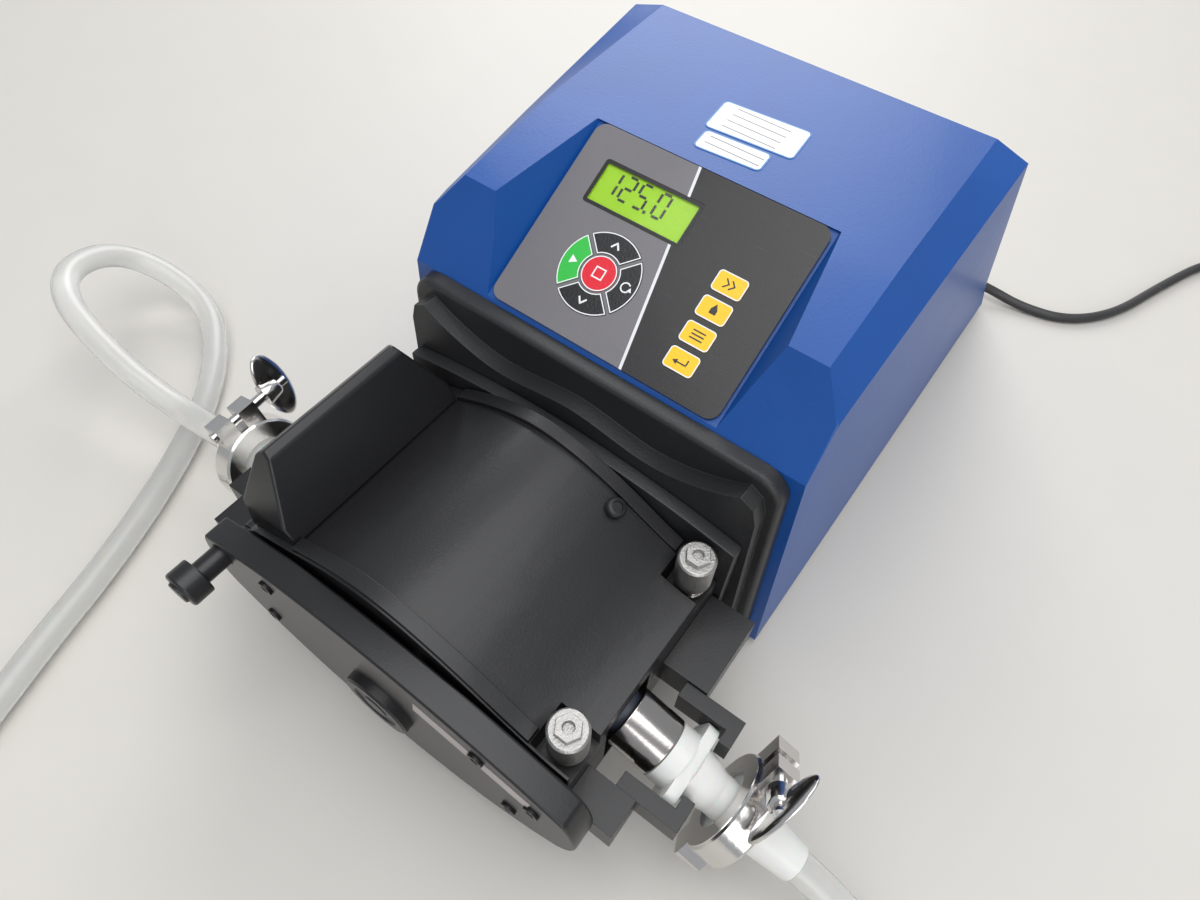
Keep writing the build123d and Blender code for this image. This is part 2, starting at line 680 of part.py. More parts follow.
NUT_LOW = 103.0
NUT_TOP = 122.0
for nut_name, nut_y in zip(("lock_nut_rear", "lock_nut_front"), NUT_YS):
    with BuildPart() as lock_nut:
        with BuildSketch(Plane.XY.offset(NUT_LOW)):
            with Locations((NUT_X, nut_y)):
                Circle(NUT_R)
        extrude(amount=NUT_TOP - NUT_LOW)
        chamfer(lock_nut.edges().group_by(Axis.Z)[-1], 1)
        with BuildSketch(Plane.XY.offset(NUT_TOP)):
            with Locations((NUT_X, nut_y)):
                RegularPolygon(6.2, 6)
        extrude(amount=3.2)
        with BuildSketch(Plane.XY.offset(NUT_TOP + 0.2)):
            with Locations((NUT_X, nut_y)):
                Circle(2.6)
        extrude(amount=4, mode=Mode.SUBTRACT)
        with BuildSketch(Plane.XY.offset(SPLIT_Z - 11)):
            with Locations((NUT_X, nut_y)):
                Circle(3)
        extrude(amount=NUT_LOW - SPLIT_Z + 11)
    finish(lock_nut.part, nut_name)

with BuildPart() as nut_springs:
    for nut_y in NUT_YS:
        for ring in range(4):
            with BuildSketch(Plane.XY.offset(NUT_SEAT + 0.05 + ring * 2.7)):
                with Locations((NUT_X, nut_y)):
                    Circle(7.5)
                    Circle(5.4, mode=Mode.SUBTRACT)
            extrude(amount=2.4)
finish(nut_springs.part, "nut_springs")

# ---------------------------------------------------------------- tube element
with BuildPart() as tube_element:
    with BuildLine(Plane.XZ.offset(-PORT_Y)) as tube_path:
        right_run = Line((104, port_z(104)), (bend_x, bend_z))
        right_bend = TangentArc(right_run @ 1, (tube_arc_x, tube_arc_z), tangent=right_run % 1)
        over = ThreePointArc(right_bend @ 1, (0, AXIS_Z + TUBE_ARC), (-tube_arc_x, tube_arc_z))
        left_bend = TangentArc(over @ 1, (-bend_x, bend_z), tangent=over % 1)
        Line(left_bend @ 1, (-104, port_z(104)))
    with BuildSketch(Plane(origin=tube_path.wires()[0] @ 0, z_dir=tube_path.wires()[0] % 0)):
        Circle(TUBE_R)
        Circle(TUBE_BORE, mode=Mode.SUBTRACT)
    sweep(path=tube_path.wires()[0])
finish(tube_element.part, "tube_element")


def port_plane(side, along):
    """Plane square to a port's centre line, along millimetres outward of the tube's end."""
    outward = Vector(side * port_dir.X, 0, port_dir.Z)
    start = Vector(side * 104, PORT_Y, port_z(104))
    return Plane(origin=start + outward * along, x_dir=(0, side, 0), z_dir=outward)


CLAMP_FROM = 48.5
CLAMP_TO = 63.5
CLAMP_R = 25.5
FERRULE_R = 20.0
BOLT_SPREAD = 31.0
HOSE_START = 92.0
NUT_FROM = 21.0
NUT_TO = 37.0
WING_R = 21.5

with BuildPart() as collars:
    for side in (-1, 1):
        with BuildSketch(port_plane(side, -10)):
            Circle(15)
            Circle(TUBE_R, mode=Mode.SUBTRACT)
        extrude(amount=24)
finish(collars.part, "collars")

for side, side_name in ((-1, "left"), (1, "right")):
    with BuildPart() as fitting:
        with BuildSketch(port_plane(side, 0)):
            Circle(TUBE_R - 0.05)
        extrude(amount=14)
        with BuildSketch(port_plane(side, 14)):
            Circle(15)
        extrude(amount=9)
        with BuildSketch(port_plane(side, 23)):
            RectangleRounded(41, 22, 5)
        extrude(amount=6)
        with BuildSketch(port_plane(side, 29)):
            Circle(14)
        extrude(amount=15, taper=14)
        with BuildSketch(port_plane(side, 44)):
            Circle(10.2)
        extrude(amount=7)
        with BuildSketch(port_plane(side, 51)):
            Circle(FERRULE_R)
        extrude(amount=4.5)
        with BuildSketch(port_plane(side, -1)):
            Circle(TUBE_BORE)
        extrude(amount=60, mode=Mode.SUBTRACT)
    finish(fitting.part, f"fitting_{side_name}")

    with BuildPart() as adaptor:
        with BuildSketch(port_plane(side, 55.5)):
            Circle(FERRULE_R)
        extrude(amount=5)
        with BuildSketch(port_plane(side, 60.5)):
            Circle(12.5)
        extrude(amount=HOSE_START - 60.5, taper=6)
        with BuildSketch(port_plane(side, 54)):
            Circle(TUBE_BORE)
        extrude(amount=HOSE_START - 50, mode=Mode.SUBTRACT)
    finish(adaptor.part, f"adaptor_{side_name}")

    middle = port_plane(side, (CLAMP_FROM + CLAMP_TO) / 2)
    lug_angle = 45 if side > 0 else 87
    lug_at = middle.from_local_coords((BOLT_SPREAD * math.cos(math.radians(lug_angle)),
                                       BOLT_SPREAD * math.sin(math.radians(lug_angle)), 0))
    lug_turn = math.radians(lug_angle)
    bolt_tip = middle.from_local_coords((-math.sin(lug_turn), math.cos(lug_turn), 0))
    bolt_dir = bolt_tip - middle.origin
    bolt_plane = Plane(origin=lug_at, x_dir=middle.z_dir, z_dir=bolt_dir)
    with BuildPart() as clamp:
        with BuildSketch(port_plane(side, CLAMP_FROM)):
            Circle(CLAMP_R)
        extrude(amount=CLAMP_TO - CLAMP_FROM)
        chamfer(clamp.edges().filter_by(GeomType.CIRCLE), 1.5)
        # hinge lobe opposite the bolt, and the lugs the bolt draws together
        with BuildSketch(port_plane(side, CLAMP_FROM + 1)):
            with PolarLocations(CLAMP_R + 2, 1, start_angle=lug_angle + 180):
                RectangleRounded(12, 16, 3)
        extrude(amount=CLAMP_TO - CLAMP_FROM - 2)
        with BuildSketch(port_plane(side, CLAMP_FROM + 1.5)):
            with PolarLocations(CLAMP_R + 3, 1, start_angle=lug_angle):
                Rectangle(16, 26)
                Rectangle(17, 5, mode=Mode.SUBTRACT)
        extrude(amount=CLAMP_TO - CLAMP_FROM - 3)
        with BuildSketch(port_plane(side, 0)):
            Circle(FERRULE_R + 0.1)
        extrude(amount=CLAMP_TO - 1.5, mode=Mode.SUBTRACT)
        with BuildSketch(port_plane(side, CLAMP_FROM - 1)):
            Circle(15)
        extrude(amount=20, mode=Mode.SUBTRACT)
        with BuildSketch(port_plane(side, CLAMP_FROM)):
            Circle(CLAMP_R - 1)
            Circle(15, mode=Mode.SUBTRACT)
        extrude(amount=1.8)
        with BuildSketch(bolt_plane.offset(-15)):
            Circle(3)
        extrude(amount=NUT_TO + 14)
    finish(clamp.part, f"clamp_{side_name}")

    with BuildPart() as wing_nut:
        with BuildSketch(bolt_plane.offset(NUT_FROM)):
            Circle(6.5)
        extrude(amount=10, taper=8)
        wing_plane = Plane(origin=bolt_plane.origin, x_dir=bolt_plane.z_dir.cross(bolt_plane.x_dir),
                           z_dir=bolt_plane.x_dir)
        with BuildSketch(wing_plane.offset(-2.2)):
            for wing_side in (-1, 1):
                with Locations((wing_side * (WING_R - 10), (NUT_FROM + NUT_TO) / 2)):
                    Ellipse(10, 8)
        extrude(amount=4.4)
        with BuildSketch(bolt_plane.offset(NUT_FROM - 1)):
            Circle(3.05)
        extrude(amount=30, mode=Mode.SUBTRACT)
    finish(wing_nut.part, f"wing_nut_{side_name}")

# ---------------------------------------------------------------- hoses, mains lead and their ends
hose_out = HOSE_START * math.cos(math.radians(PORT_SLOPE))
hose_fall = HOSE_START * math.sin(math.radians(PORT_SLOPE))
HOSE_X = 104 + hose_out
HOSE_Z = port_z(104) - hose_fall
HOSE_LEVEL = HOSE_R + 0.3
FALL = math.tan(math.radians(PORT_SLOPE))

HOSE_LEFT = (
    (-HOSE_X, PORT_Y, HOSE_Z),
    (-HOSE_X - 36, PORT_Y, HOSE_Z - 36 * FALL),
    (-288, FRONT - 106, 50),
    (-356, FRONT - 96, 74),
    (-384, FRONT - 38, 46),
    (-326, FRONT - 18, 14),
    (-270, FRONT - 60, HOSE_LEVEL),
    (-232, FRONT - 124, HOSE_LEVEL),
    (-206, FRONT - 190, HOSE_LEVEL),
    (-190, FRONT - 250, HOSE_LEVEL),
    (-172, FRONT - 304, HOSE_LEVEL),
)
HOSE_RIGHT = (
    (HOSE_X, PORT_Y, HOSE_Z),
    (HOSE_X + 32, PORT_Y, HOSE_Z - 32 * FALL),
    (262, FRONT - 112, 16),
    (300, FRONT - 142, HOSE_LEVEL),
    (316, FRONT - 190, HOSE_LEVEL),
)
LEAD_LEVEL = LEAD_R + 0.2
LEAD = (
    (106, FRONT + 353, 16),
    (124, FRONT + 361, 9),
    (150, FRONT + 364, LEAD_LEVEL),
    (184, FRONT + 372, LEAD_LEVEL),
    (212, FRONT + 404, LEAD_LEVEL),
    (232, FRONT + 458, LEAD_LEVEL),
    (256, FRONT + 514, LEAD_LEVEL),
    (292, FRONT + 548, LEAD_LEVEL),
)


def run_radii(points):
    """Radius of the arc at each inner point: 0.45 of its shorter run over the tangent of half its turn."""
    radii = []
    for before, here, after in zip(points[:-2], points[1:-1], points[2:]):
        arriving = Vector(*here) - Vector(*before)
        leaving = Vector(*after) - Vector(*here)
        half_turn = math.radians(arriving.get_angle(leaving)) / 2
        radii.append(0.45 * min(arriving.length, leaving.length) / math.tan(half_turn))
    return radii


def route_wire(points):
    """Straight runs joined by tangent arcs through a cord's points."""
    radii = run_radii(points)
    print("arc radii", [round(radius) for radius in radii])
    with BuildLine() as route:
        start = Vector(*points[0])
        for here, after, radius, before in zip(points[1:-1], points[2:], radii, points[:-2]):
            corner = Vector(*here)
            arriving = (corner - Vector(*before)).normalized()
            leaving = (Vector(*after) - corner).normalized()
            half_turn = math.radians(arriving.get_angle(leaving)) / 2
            reach = radius * math.tan(half_turn)
            arc_from = corner - arriving * reach
            arc_to = corner + leaving * reach
            Line(start, arc_from)
            TangentArc(arc_from, arc_to, tangent=arriving)
            start = arc_to
        Line(start, Vector(*points[-1]))
    return route.wires()[0]


def cord(points, radius, name):
    """Sweep one cord along its route and compare its volume with section times length."""
    wire = route_wire(points)
    with BuildPart() as tube:
        with BuildSketch(Plane(origin=wire @ 0, z_dir=wire % 0)):
            Circle(radius)
        sweep(path=wire)
    expected = math.pi * radius ** 2 * wire.length
    print(name, "length", round(wire.length), "volume ratio", round(tube.part.volume / expected, 4))
    finish(tube.part, name)


def end_plane(points):
    """Plane at a cord's far end, with its normal along the last run."""
    last = Vector(*points[-1])
    return Plane(origin=last, z_dir=last - Vector(*points[-2]))


cord(HOSE_LEFT, HOSE_R, "hose_left")
cord(HOSE_RIGHT, HOSE_R, "hose_right")
cord(LEAD, LEAD_R, "mains_lead")

for end_name, end_points in (("hose_end_left", HOSE_LEFT), ("hose_end_right", HOSE_RIGHT)):
    with BuildPart() as hose_end:
        with BuildSketch(end_plane(end_points)):
            Circle(HOSE_R)
        extrude(amount=10)
        with BuildSketch(end_plane(end_points).offset(10)):
            Circle(HOSE_R - 1.5)
        extrude(amount=16)
        with BuildSketch(end_plane(end_points).offset(26)):
            Circle(HOSE_R)
        extrude(amount=4)
    finish(hose_end.part, end_name)

# strain relief on the rear wall, tapered towards the lead
gland_dir = Vector(*LEAD[0]) - Vector(*LEAD[1])
GLAND_PLANE = Plane(origin=LEAD[0], z_dir=gland_dir)
with BuildPart() as mains_gland:
    with BuildSketch(GLAND_PLANE.offset(22)) as gland_wide:
        Circle(8.5)
    with BuildSketch(GLAND_PLANE) as gland_narrow:
        Circle(4.4)
    loft(sections=[gland_wide.sketch.faces()[0], gland_narrow.sketch.faces()[0]])
finish(mains_gland.part, "mains_gland")

COIL_OUT = 55.2
COIL_IN = 29.7
COIL_HIGH = 14.8
COIL_START = 51.6            # centre radius of the outermost turn
coil_entry = Vector(*LEAD[-1])
coil_run = (coil_entry - Vector(*LEAD[-2])).normalized()
coil_side = Vector(coil_run.Y, -coil_run.X, 0)
coil_centre = coil_entry + coil_side * COIL_START + coil_run * 12
with BuildPart() as mains_coil:
    with BuildSketch(Plane.XY.offset(0.2)):
        with Locations((coil_centre.X, coil_centre.Y)):
            Circle(COIL_OUT)
            Circle(COIL_IN, mode=Mode.SUBTRACT)
    extrude(amount=COIL_HIGH)
    fillet(mains_coil.edges(), 3)
finish(mains_coil.part, "mains_coil")

PLUG_R = 18.5
PLUG_LONG = 38.0
RELIEF_LONG = 52.0
plug_tail = coil_centre + coil_run * COIL_START + coil_side * 10
plug_tail = Vector(plug_tail.X, plug_tail.Y, 11.2)
plug_root = Vector(plug_tail.X + coil_side.X * RELIEF_LONG,
                   plug_tail.Y + coil_side.Y * RELIEF_LONG, PLUG_R + 0.2)
PLUG_PLANE = Plane(origin=plug_root, x_dir=coil_run, z_dir=coil_side)
with BuildPart() as mains_plug:
    # tapered strain relief from the coil to the body
    with BuildSketch(Plane(origin=plug_tail, z_dir=plug_root - plug_tail)):
        Circle(LEAD_R + 0.6)
    extrude(amount=RELIEF_LONG + 3, taper=-4.3)
    with BuildSketch(PLUG_PLANE):
        Circle(PLUG_R - 1)
    extrude(amount=PLUG_LONG)
    with BuildSketch(PLUG_PLANE.offset(PLUG_LONG)):
        with Locations((-9.5, 0), (9.5, 0)):
            Circle(2.4)
    extrude(amount=19)
finish(mains_plug.part, "mains_plug")
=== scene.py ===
"""Case peristaltic pump: surfaces, fine parts, cords and studio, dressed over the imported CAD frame."""

import logging
import math
from dataclasses import dataclass, field
from enum import Enum
from typing import Iterable, Optional, Sequence

import bpy
from mathutils import Matrix, Vector


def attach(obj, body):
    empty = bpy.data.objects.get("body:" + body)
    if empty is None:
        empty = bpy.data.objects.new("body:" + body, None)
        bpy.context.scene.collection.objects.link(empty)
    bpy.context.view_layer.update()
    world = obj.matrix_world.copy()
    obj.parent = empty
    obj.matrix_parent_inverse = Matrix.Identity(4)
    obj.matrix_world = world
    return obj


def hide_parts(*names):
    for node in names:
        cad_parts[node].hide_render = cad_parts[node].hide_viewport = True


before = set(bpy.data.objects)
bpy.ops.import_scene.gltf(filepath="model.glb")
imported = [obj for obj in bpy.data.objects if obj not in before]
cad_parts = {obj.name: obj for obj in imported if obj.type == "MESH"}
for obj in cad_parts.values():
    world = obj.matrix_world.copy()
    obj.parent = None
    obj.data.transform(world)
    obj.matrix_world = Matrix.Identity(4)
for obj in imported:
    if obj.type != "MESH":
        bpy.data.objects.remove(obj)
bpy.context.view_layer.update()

log = logging.getLogger("pump")

MM = 0.001
ROOT = "drive_unit"

FRONT = -85.8 * MM  # front plane of the drive case
AXIS_Z = 68.0 * MM  # rotor axis
PORT_Y = FRONT - 99.4 * MM  # tube centre plane
PORT_SLOPE = math.radians(18.0)
PORT_END = Vector((104.0 * MM, PORT_Y, 72.16 * MM))  # right end of the tube element
KEY_SLOPE = math.radians(28.6)
KEY_TOP = Vector((0.0, FRONT + 90.5 * MM, 213.2 * MM))
KEY_LENGTH = 102.0 * MM
KEY_PROUD = 0.35 * MM
KEY_DOWN = Vector((0, -math.cos(KEY_SLOPE), -math.sin(KEY_SLOPE)))
KEY_NORMAL = Vector((0, -math.sin(KEY_SLOPE), math.cos(KEY_SLOPE)))
ALONG_X = Vector((1, 0, 0))
FACING = 0.98  # least cosine for a face to count as looking along a direction

Piece = bpy.types.Object
Tree = bpy.types.NodeTree
Socket = bpy.types.NodeSocket


# ------------------------------------------------------------------ modelling helpers
def deselect() -> None:
    """Leave nothing selected."""
    bpy.ops.object.select_all(action="DESELECT")


def focus(piece: Piece) -> Piece:
    """Select one piece only and make it the active one."""
    deselect()
    piece.select_set(True)
    bpy.context.view_layer.objects.active = piece
    return piece


def edit(piece: Piece) -> None:
    """Open a piece in edit mode with all of it selected."""
    focus(piece)
    bpy.ops.object.mode_set(mode="EDIT")
    bpy.ops.mesh.select_all(action="SELECT")


def leave() -> None:
    """Go back to object mode."""
    bpy.ops.object.mode_set(mode="OBJECT")


def settle(piece: Piece) -> Piece:
    """Write a piece's place into its mesh, so that its object sits at the origin."""
    focus(piece)
    bpy.ops.object.transform_apply(location=True, rotation=True, scale=True)
    return piece


def move_to(piece: Piece, place: Matrix) -> Piece:
    """Put a piece modelled at the origin at a place, and settle it there."""
    piece.matrix_world = place @ piece.matrix_world
    return settle(piece)


def modify(piece: Piece, kind: str, **settings: object) -> None:
    """Add a modifier of one kind with its settings and apply it."""
    focus(piece)
    modifier = piece.modifiers.new(kind.lower(), kind)
    for name, value in settings.items():
        setattr(modifier, name, value)
    bpy.ops.object.modifier_apply(modifier=modifier.name)


def smooth(piece: Piece, degrees: float = 32.0) -> None:
    """Shade a piece smooth except across edges sharper than an angle."""
    focus(piece)
    bpy.ops.object.shade_smooth_by_angle(angle=math.radians(degrees))


def soften(piece: Piece, width: float, segments: int = 2, degrees: float = 32.0) -> None:
    """Round a piece's sharp edges by a width and shade it smooth."""
    modify(piece, "BEVEL", width=width, segments=segments, limit_method="ANGLE",
           angle_limit=math.radians(degrees), use_clamp_overlap=True, harden_normals=False)
    smooth(piece)
    modify(piece, "WEIGHTED_NORMAL", mode="FACE_AREA", weight=50, keep_sharp=True)


def outward(piece: Piece) -> None:
    """Merge doubles and turn all faces outwards."""
    edit(piece)
    bpy.ops.mesh.remove_doubles(threshold=1e-6)
    bpy.ops.mesh.normals_make_consistent(inside=False)
    leave()


def join(name: str, pieces: Sequence[Piece]) -> Piece:
    """Join pieces into the first one under a new name."""
    deselect()
    for piece in pieces:
        piece.select_set(True)
    bpy.context.view_layer.objects.active = pieces[0]
    if len(pieces) > 1:
        bpy.ops.object.join()
    pieces[0].name = name
    return pieces[0]


def turned(name: str, outline: Sequence[tuple[float, float]], sides: int) -> Piece:
    """Turn a solid from its outline by extruding and resizing a circle.

    Args:
        name: the piece's name.
        outline: (radius, height) pairs from the first end to the last, in mm, radius never 0.
        sides: how many sides the circle has.

    Returns:
        The closed solid, its axis on Z.
    """
    deselect()
    profile = [(radius * MM, height * MM) for radius, height in outline]
    radius, height = profile[0]
    bpy.ops.mesh.primitive_circle_add(vertices=sides, radius=radius, fill_type="NGON",
                                      location=(0, 0, height))
    piece = settle(bpy.context.object)
    piece.name = name
    edit(piece)
    for next_radius, next_height in profile[1:]:
        bpy.ops.mesh.extrude_region_move(TRANSFORM_OT_translate={"value": (0, 0, next_height - height)})
        ratio = next_radius / radius
        if abs(ratio - 1) > 1e-6:
            bpy.ops.transform.resize(value=(ratio, ratio, 1), center_override=(0, 0, next_height))
        radius, height = next_radius, next_height
    leave()
    outward(piece)
    return piece


def block(name: str, size: Sequence[float], place: Matrix, round_by: float) -> Piece:
    """A block with rounded edges, centred on a place."""
    deselect()
    bpy.ops.mesh.primitive_cube_add(size=1)
    piece = bpy.context.object
    piece.name = name
    piece.scale = size
    settle(piece)
    soften(piece, round_by, 2)
    return move_to(piece, place)


def on_plane(origin: Vector, normal: Vector, across: Vector) -> Matrix:
    """Frame whose Z is a normal and whose X is nearest to a direction, at an origin."""
    z_axis = normal.normalized()
    x_axis = (across - z_axis * across.dot(z_axis)).normalized()
    y_axis = z_axis.cross(x_axis)
    turn = Matrix((x_axis, y_axis, z_axis)).transposed().to_4x4()
    return Matrix.Translation(origin) @ turn


def merged_copy(node: str) -> Piece:
    """Copy a CAD node as one clean mesh with its flat faces whole."""
    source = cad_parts[node]
    mesh = source.data.copy()
    mesh.materials.clear()
    piece = bpy.data.objects.new(f"{node}_skin", mesh)
    bpy.context.scene.collection.objects.link(piece)
    edit(piece)
    bpy.ops.mesh.customdata_custom_splitnormals_clear()
    bpy.ops.mesh.remove_doubles(threshold=2e-6)
    bpy.ops.mesh.dissolve_limited(angle_limit=math.radians(0.4))
    leave()
    return piece


def inset_facing(piece: Piece, normal: Vector, width: float) -> None:
    """Inset the faces that look along a normal, and leave the inner ones selected."""
    for part in (piece.data.vertices, piece.data.edges):
        for item in part:
            item.select = False
    for face in piece.data.polygons:
        face.select = face.normal.dot(normal) > FACING
    focus(piece)
    bpy.ops.object.mode_set(mode="EDIT")
    bpy.ops.mesh.inset(thickness=width)
    leave()


# ------------------------------------------------------------------ finishes
class Group(Enum):
    """Shared surface effects, each built once as a node group."""

    GRAIN = "surface_grain"
    TONE = "uneven_tone"
    DUST = "dust_film"
    SCUFF = "fine_scuffs"


def new_group(kind: Group, inputs: Sequence[tuple[str, str, object]],
              outputs: Sequence[tuple[str, str]]) -> Tree:
    """Start a shader node group with named sockets.

    Args:
        kind: which effect it is.
        inputs: name, socket type and default of each input.
        outputs: name and socket type of each output.

    Returns:
        The group's node tree with its input and output nodes in it.
    """
    tree = bpy.data.node_groups.new(kind.value, "ShaderNodeTree")
    for name, socket, default in inputs:
        made = tree.interface.new_socket(name=name, in_out="INPUT", socket_type=socket)
        if default is not None:
            made.default_value = default
    for name, socket in outputs:
        tree.interface.new_socket(name=name, in_out="OUTPUT", socket_type=socket)
    tree.nodes.new("NodeGroupInput").name = "in"
    tree.nodes.new("NodeGroupOutput").name = "out"
    return tree


def link(tree: Tree, source: Socket, target: Socket) -> None:
    """Join two sockets."""
    tree.links.new(source, target)


def math_node(tree: Tree, operation: str, first: object, second: object = 0.0,
              clamp: bool = False) -> Socket:
    """One arithmetic node, fed by sockets or numbers, and its result."""
    node = tree.nodes.new("ShaderNodeMath")
    node.operation = operation
    node.use_clamp = clamp
    for index, value in enumerate((first, second)):
        if isinstance(value, Socket):
            link(tree, value, node.inputs[index])
        else:
            node.inputs[index].default_value = value
    return node.outputs[0]


def noise(tree: Tree, vector: Socket, scale: object, detail: float,
          roughness: float = 0.55) -> Socket:
    """A noise texture's factor."""
    node = tree.nodes.new("ShaderNodeTexNoise")
    link(tree, vector, node.inputs["Vector"])
    if isinstance(scale, Socket):
        link(tree, scale, node.inputs["Scale"])
    else:
        node.inputs["Scale"].default_value = scale
    node.inputs["Detail"].default_value = detail
    node.inputs["Roughness"].default_value = roughness
    return node.outputs["Fac"]


def mix_colour(tree: Tree, factor: object, first: object,
               second: object) -> Socket:
    """Mix two colours, each a socket or a value, by a factor."""
    node = tree.nodes.new("ShaderNodeMix")
    node.data_type = "RGBA"
    for index, value in ((0, factor), (6, first), (7, second)):
        if isinstance(value, Socket):
            link(tree, value, node.inputs[index])
        else:
            node.inputs[index].default_value = value
    return node.outputs[2]


def build_grain() -> None:
    """Moulded grain: small cells and fine noise, as a height."""
    tree = new_group(Group.GRAIN, [("Vector", "NodeSocketVector", None),
                                   ("Scale", "NodeSocketFloat", 900.0),
                                   ("Cells", "NodeSocketFloat", 0.5)],
                     [("Height", "NodeSocketFloat")])
    inside = tree.nodes["in"]
    cells = tree.nodes.new("ShaderNodeTexVoronoi")
    cells.feature = "SMOOTH_F1"
    link(tree, inside.outputs["Vector"], cells.inputs["Vector"])
    link(tree, inside.outputs["Scale"], cells.inputs["Scale"])
    fine = noise(tree, inside.outputs["Vector"], inside.outputs["Scale"], 3.0)
    rounded = math_node(tree, "MULTIPLY", cells.outputs["Distance"], inside.outputs["Cells"])
    link(tree, math_node(tree, "ADD", rounded, fine), tree.nodes["out"].inputs["Height"])


def build_tone() -> None:
    """Slow patches of lighter and darker colour."""
    tree = new_group(Group.TONE, [("Vector", "NodeSocketVector", None),
                                  ("Colour", "NodeSocketColor", (0.5, 0.5, 0.5, 1)),
                                  ("Scale", "NodeSocketFloat", 20.0),
                                  ("Spread", "NodeSocketFloat", 0.1)],
                     [("Colour", "NodeSocketColor")])
    inside = tree.nodes["in"]
    patches = noise(tree, inside.outputs["Vector"], inside.outputs["Scale"], 5.0)
    centred = math_node(tree, "SUBTRACT", patches, 0.5)
    level = math_node(tree, "MULTIPLY_ADD", centred, inside.outputs["Spread"])
    level.node.inputs[2].default_value = 1.0
    shade = tree.nodes.new("ShaderNodeHueSaturation")
    link(tree, inside.outputs["Colour"], shade.inputs["Color"])
    link(tree, level, shade.inputs["Value"])
    link(tree, shade.outputs["Color"], tree.nodes["out"].inputs["Colour"])


def build_dust() -> None:
    """A pale film on faces that look up, with specks, that also dulls them."""
    tree = new_group(Group.DUST, [("Vector", "NodeSocketVector", None),
                                  ("Colour", "NodeSocketColor", (0.5, 0.5, 0.5, 1)),
                                  ("Dust", "NodeSocketColor", (0.45, 0.43, 0.4, 1)),
                                  ("Amount", "NodeSocketFloat", 0.2),
                                  ("Roughness", "NodeSocketFloat", 0.4)],
                     [("Colour", "NodeSocketColor"), ("Roughness", "NodeSocketFloat")])
    inside = tree.nodes["in"]
    surface = tree.nodes.new("ShaderNodeNewGeometry")
    parts = tree.nodes.new("ShaderNodeSeparateXYZ")
    link(tree, surface.outputs["Normal"], parts.inputs[0])
    facing = math_node(tree, "MAXIMUM", parts.outputs["Z"], 0.15)
    cloud = noise(tree, inside.outputs["Vector"], 38.0, 6.0)
    speck = noise(tree, inside.outputs["Vector"], 1100.0, 2.0)
    specks = math_node(tree, "GREATER_THAN", speck, 0.69)
    film = math_node(tree, "ADD", cloud, math_node(tree, "MULTIPLY", specks, 1.2))
    strength = math_node(tree, "MULTIPLY", facing, inside.outputs["Amount"])
    mask = math_node(tree, "MULTIPLY", film, strength, True)
    coloured = mix_colour(tree, mask, inside.outputs["Colour"], inside.outputs["Dust"])
    link(tree, coloured, tree.nodes["out"].inputs["Colour"])
    duller = math_node(tree, "MULTIPLY", mask, 0.5)
    dulled = math_node(tree, "ADD", inside.outputs["Roughness"], duller, True)
    link(tree, dulled, tree.nodes["out"].inputs["Roughness"])


def build_scuff() -> None:
    """Thin random scratches as a mask."""
    tree = new_group(Group.SCUFF, [("Vector", "NodeSocketVector", None),
                                   ("Scale", "NodeSocketFloat", 60.0),
                                   ("Amount", "NodeSocketFloat", 0.3)],
                     [("Mask", "NodeSocketFloat")])
    inside = tree.nodes["in"]
    total: Optional[Socket] = None
    for turn in (0.4, 1.3, 2.3):
        lay = tree.nodes.new("ShaderNodeMapping")
        lay.inputs["Rotation"].default_value = (turn, turn * 0.7, turn)
        lay.inputs["Scale"].default_value = (1.0, 14.0, 1.0)
        link(tree, inside.outputs["Vector"], lay.inputs["Vector"])
        streak = noise(tree, lay.outputs["Vector"], inside.outputs["Scale"], 2.0)
        line = math_node(tree, "GREATER_THAN", streak, 0.71)
        total = line if total is None else math_node(tree, "MAXIMUM", total, line)
    mask = math_node(tree, "MULTIPLY", total, inside.outputs["Amount"], True)
    link(tree, mask, tree.nodes["out"].inputs["Mask"])


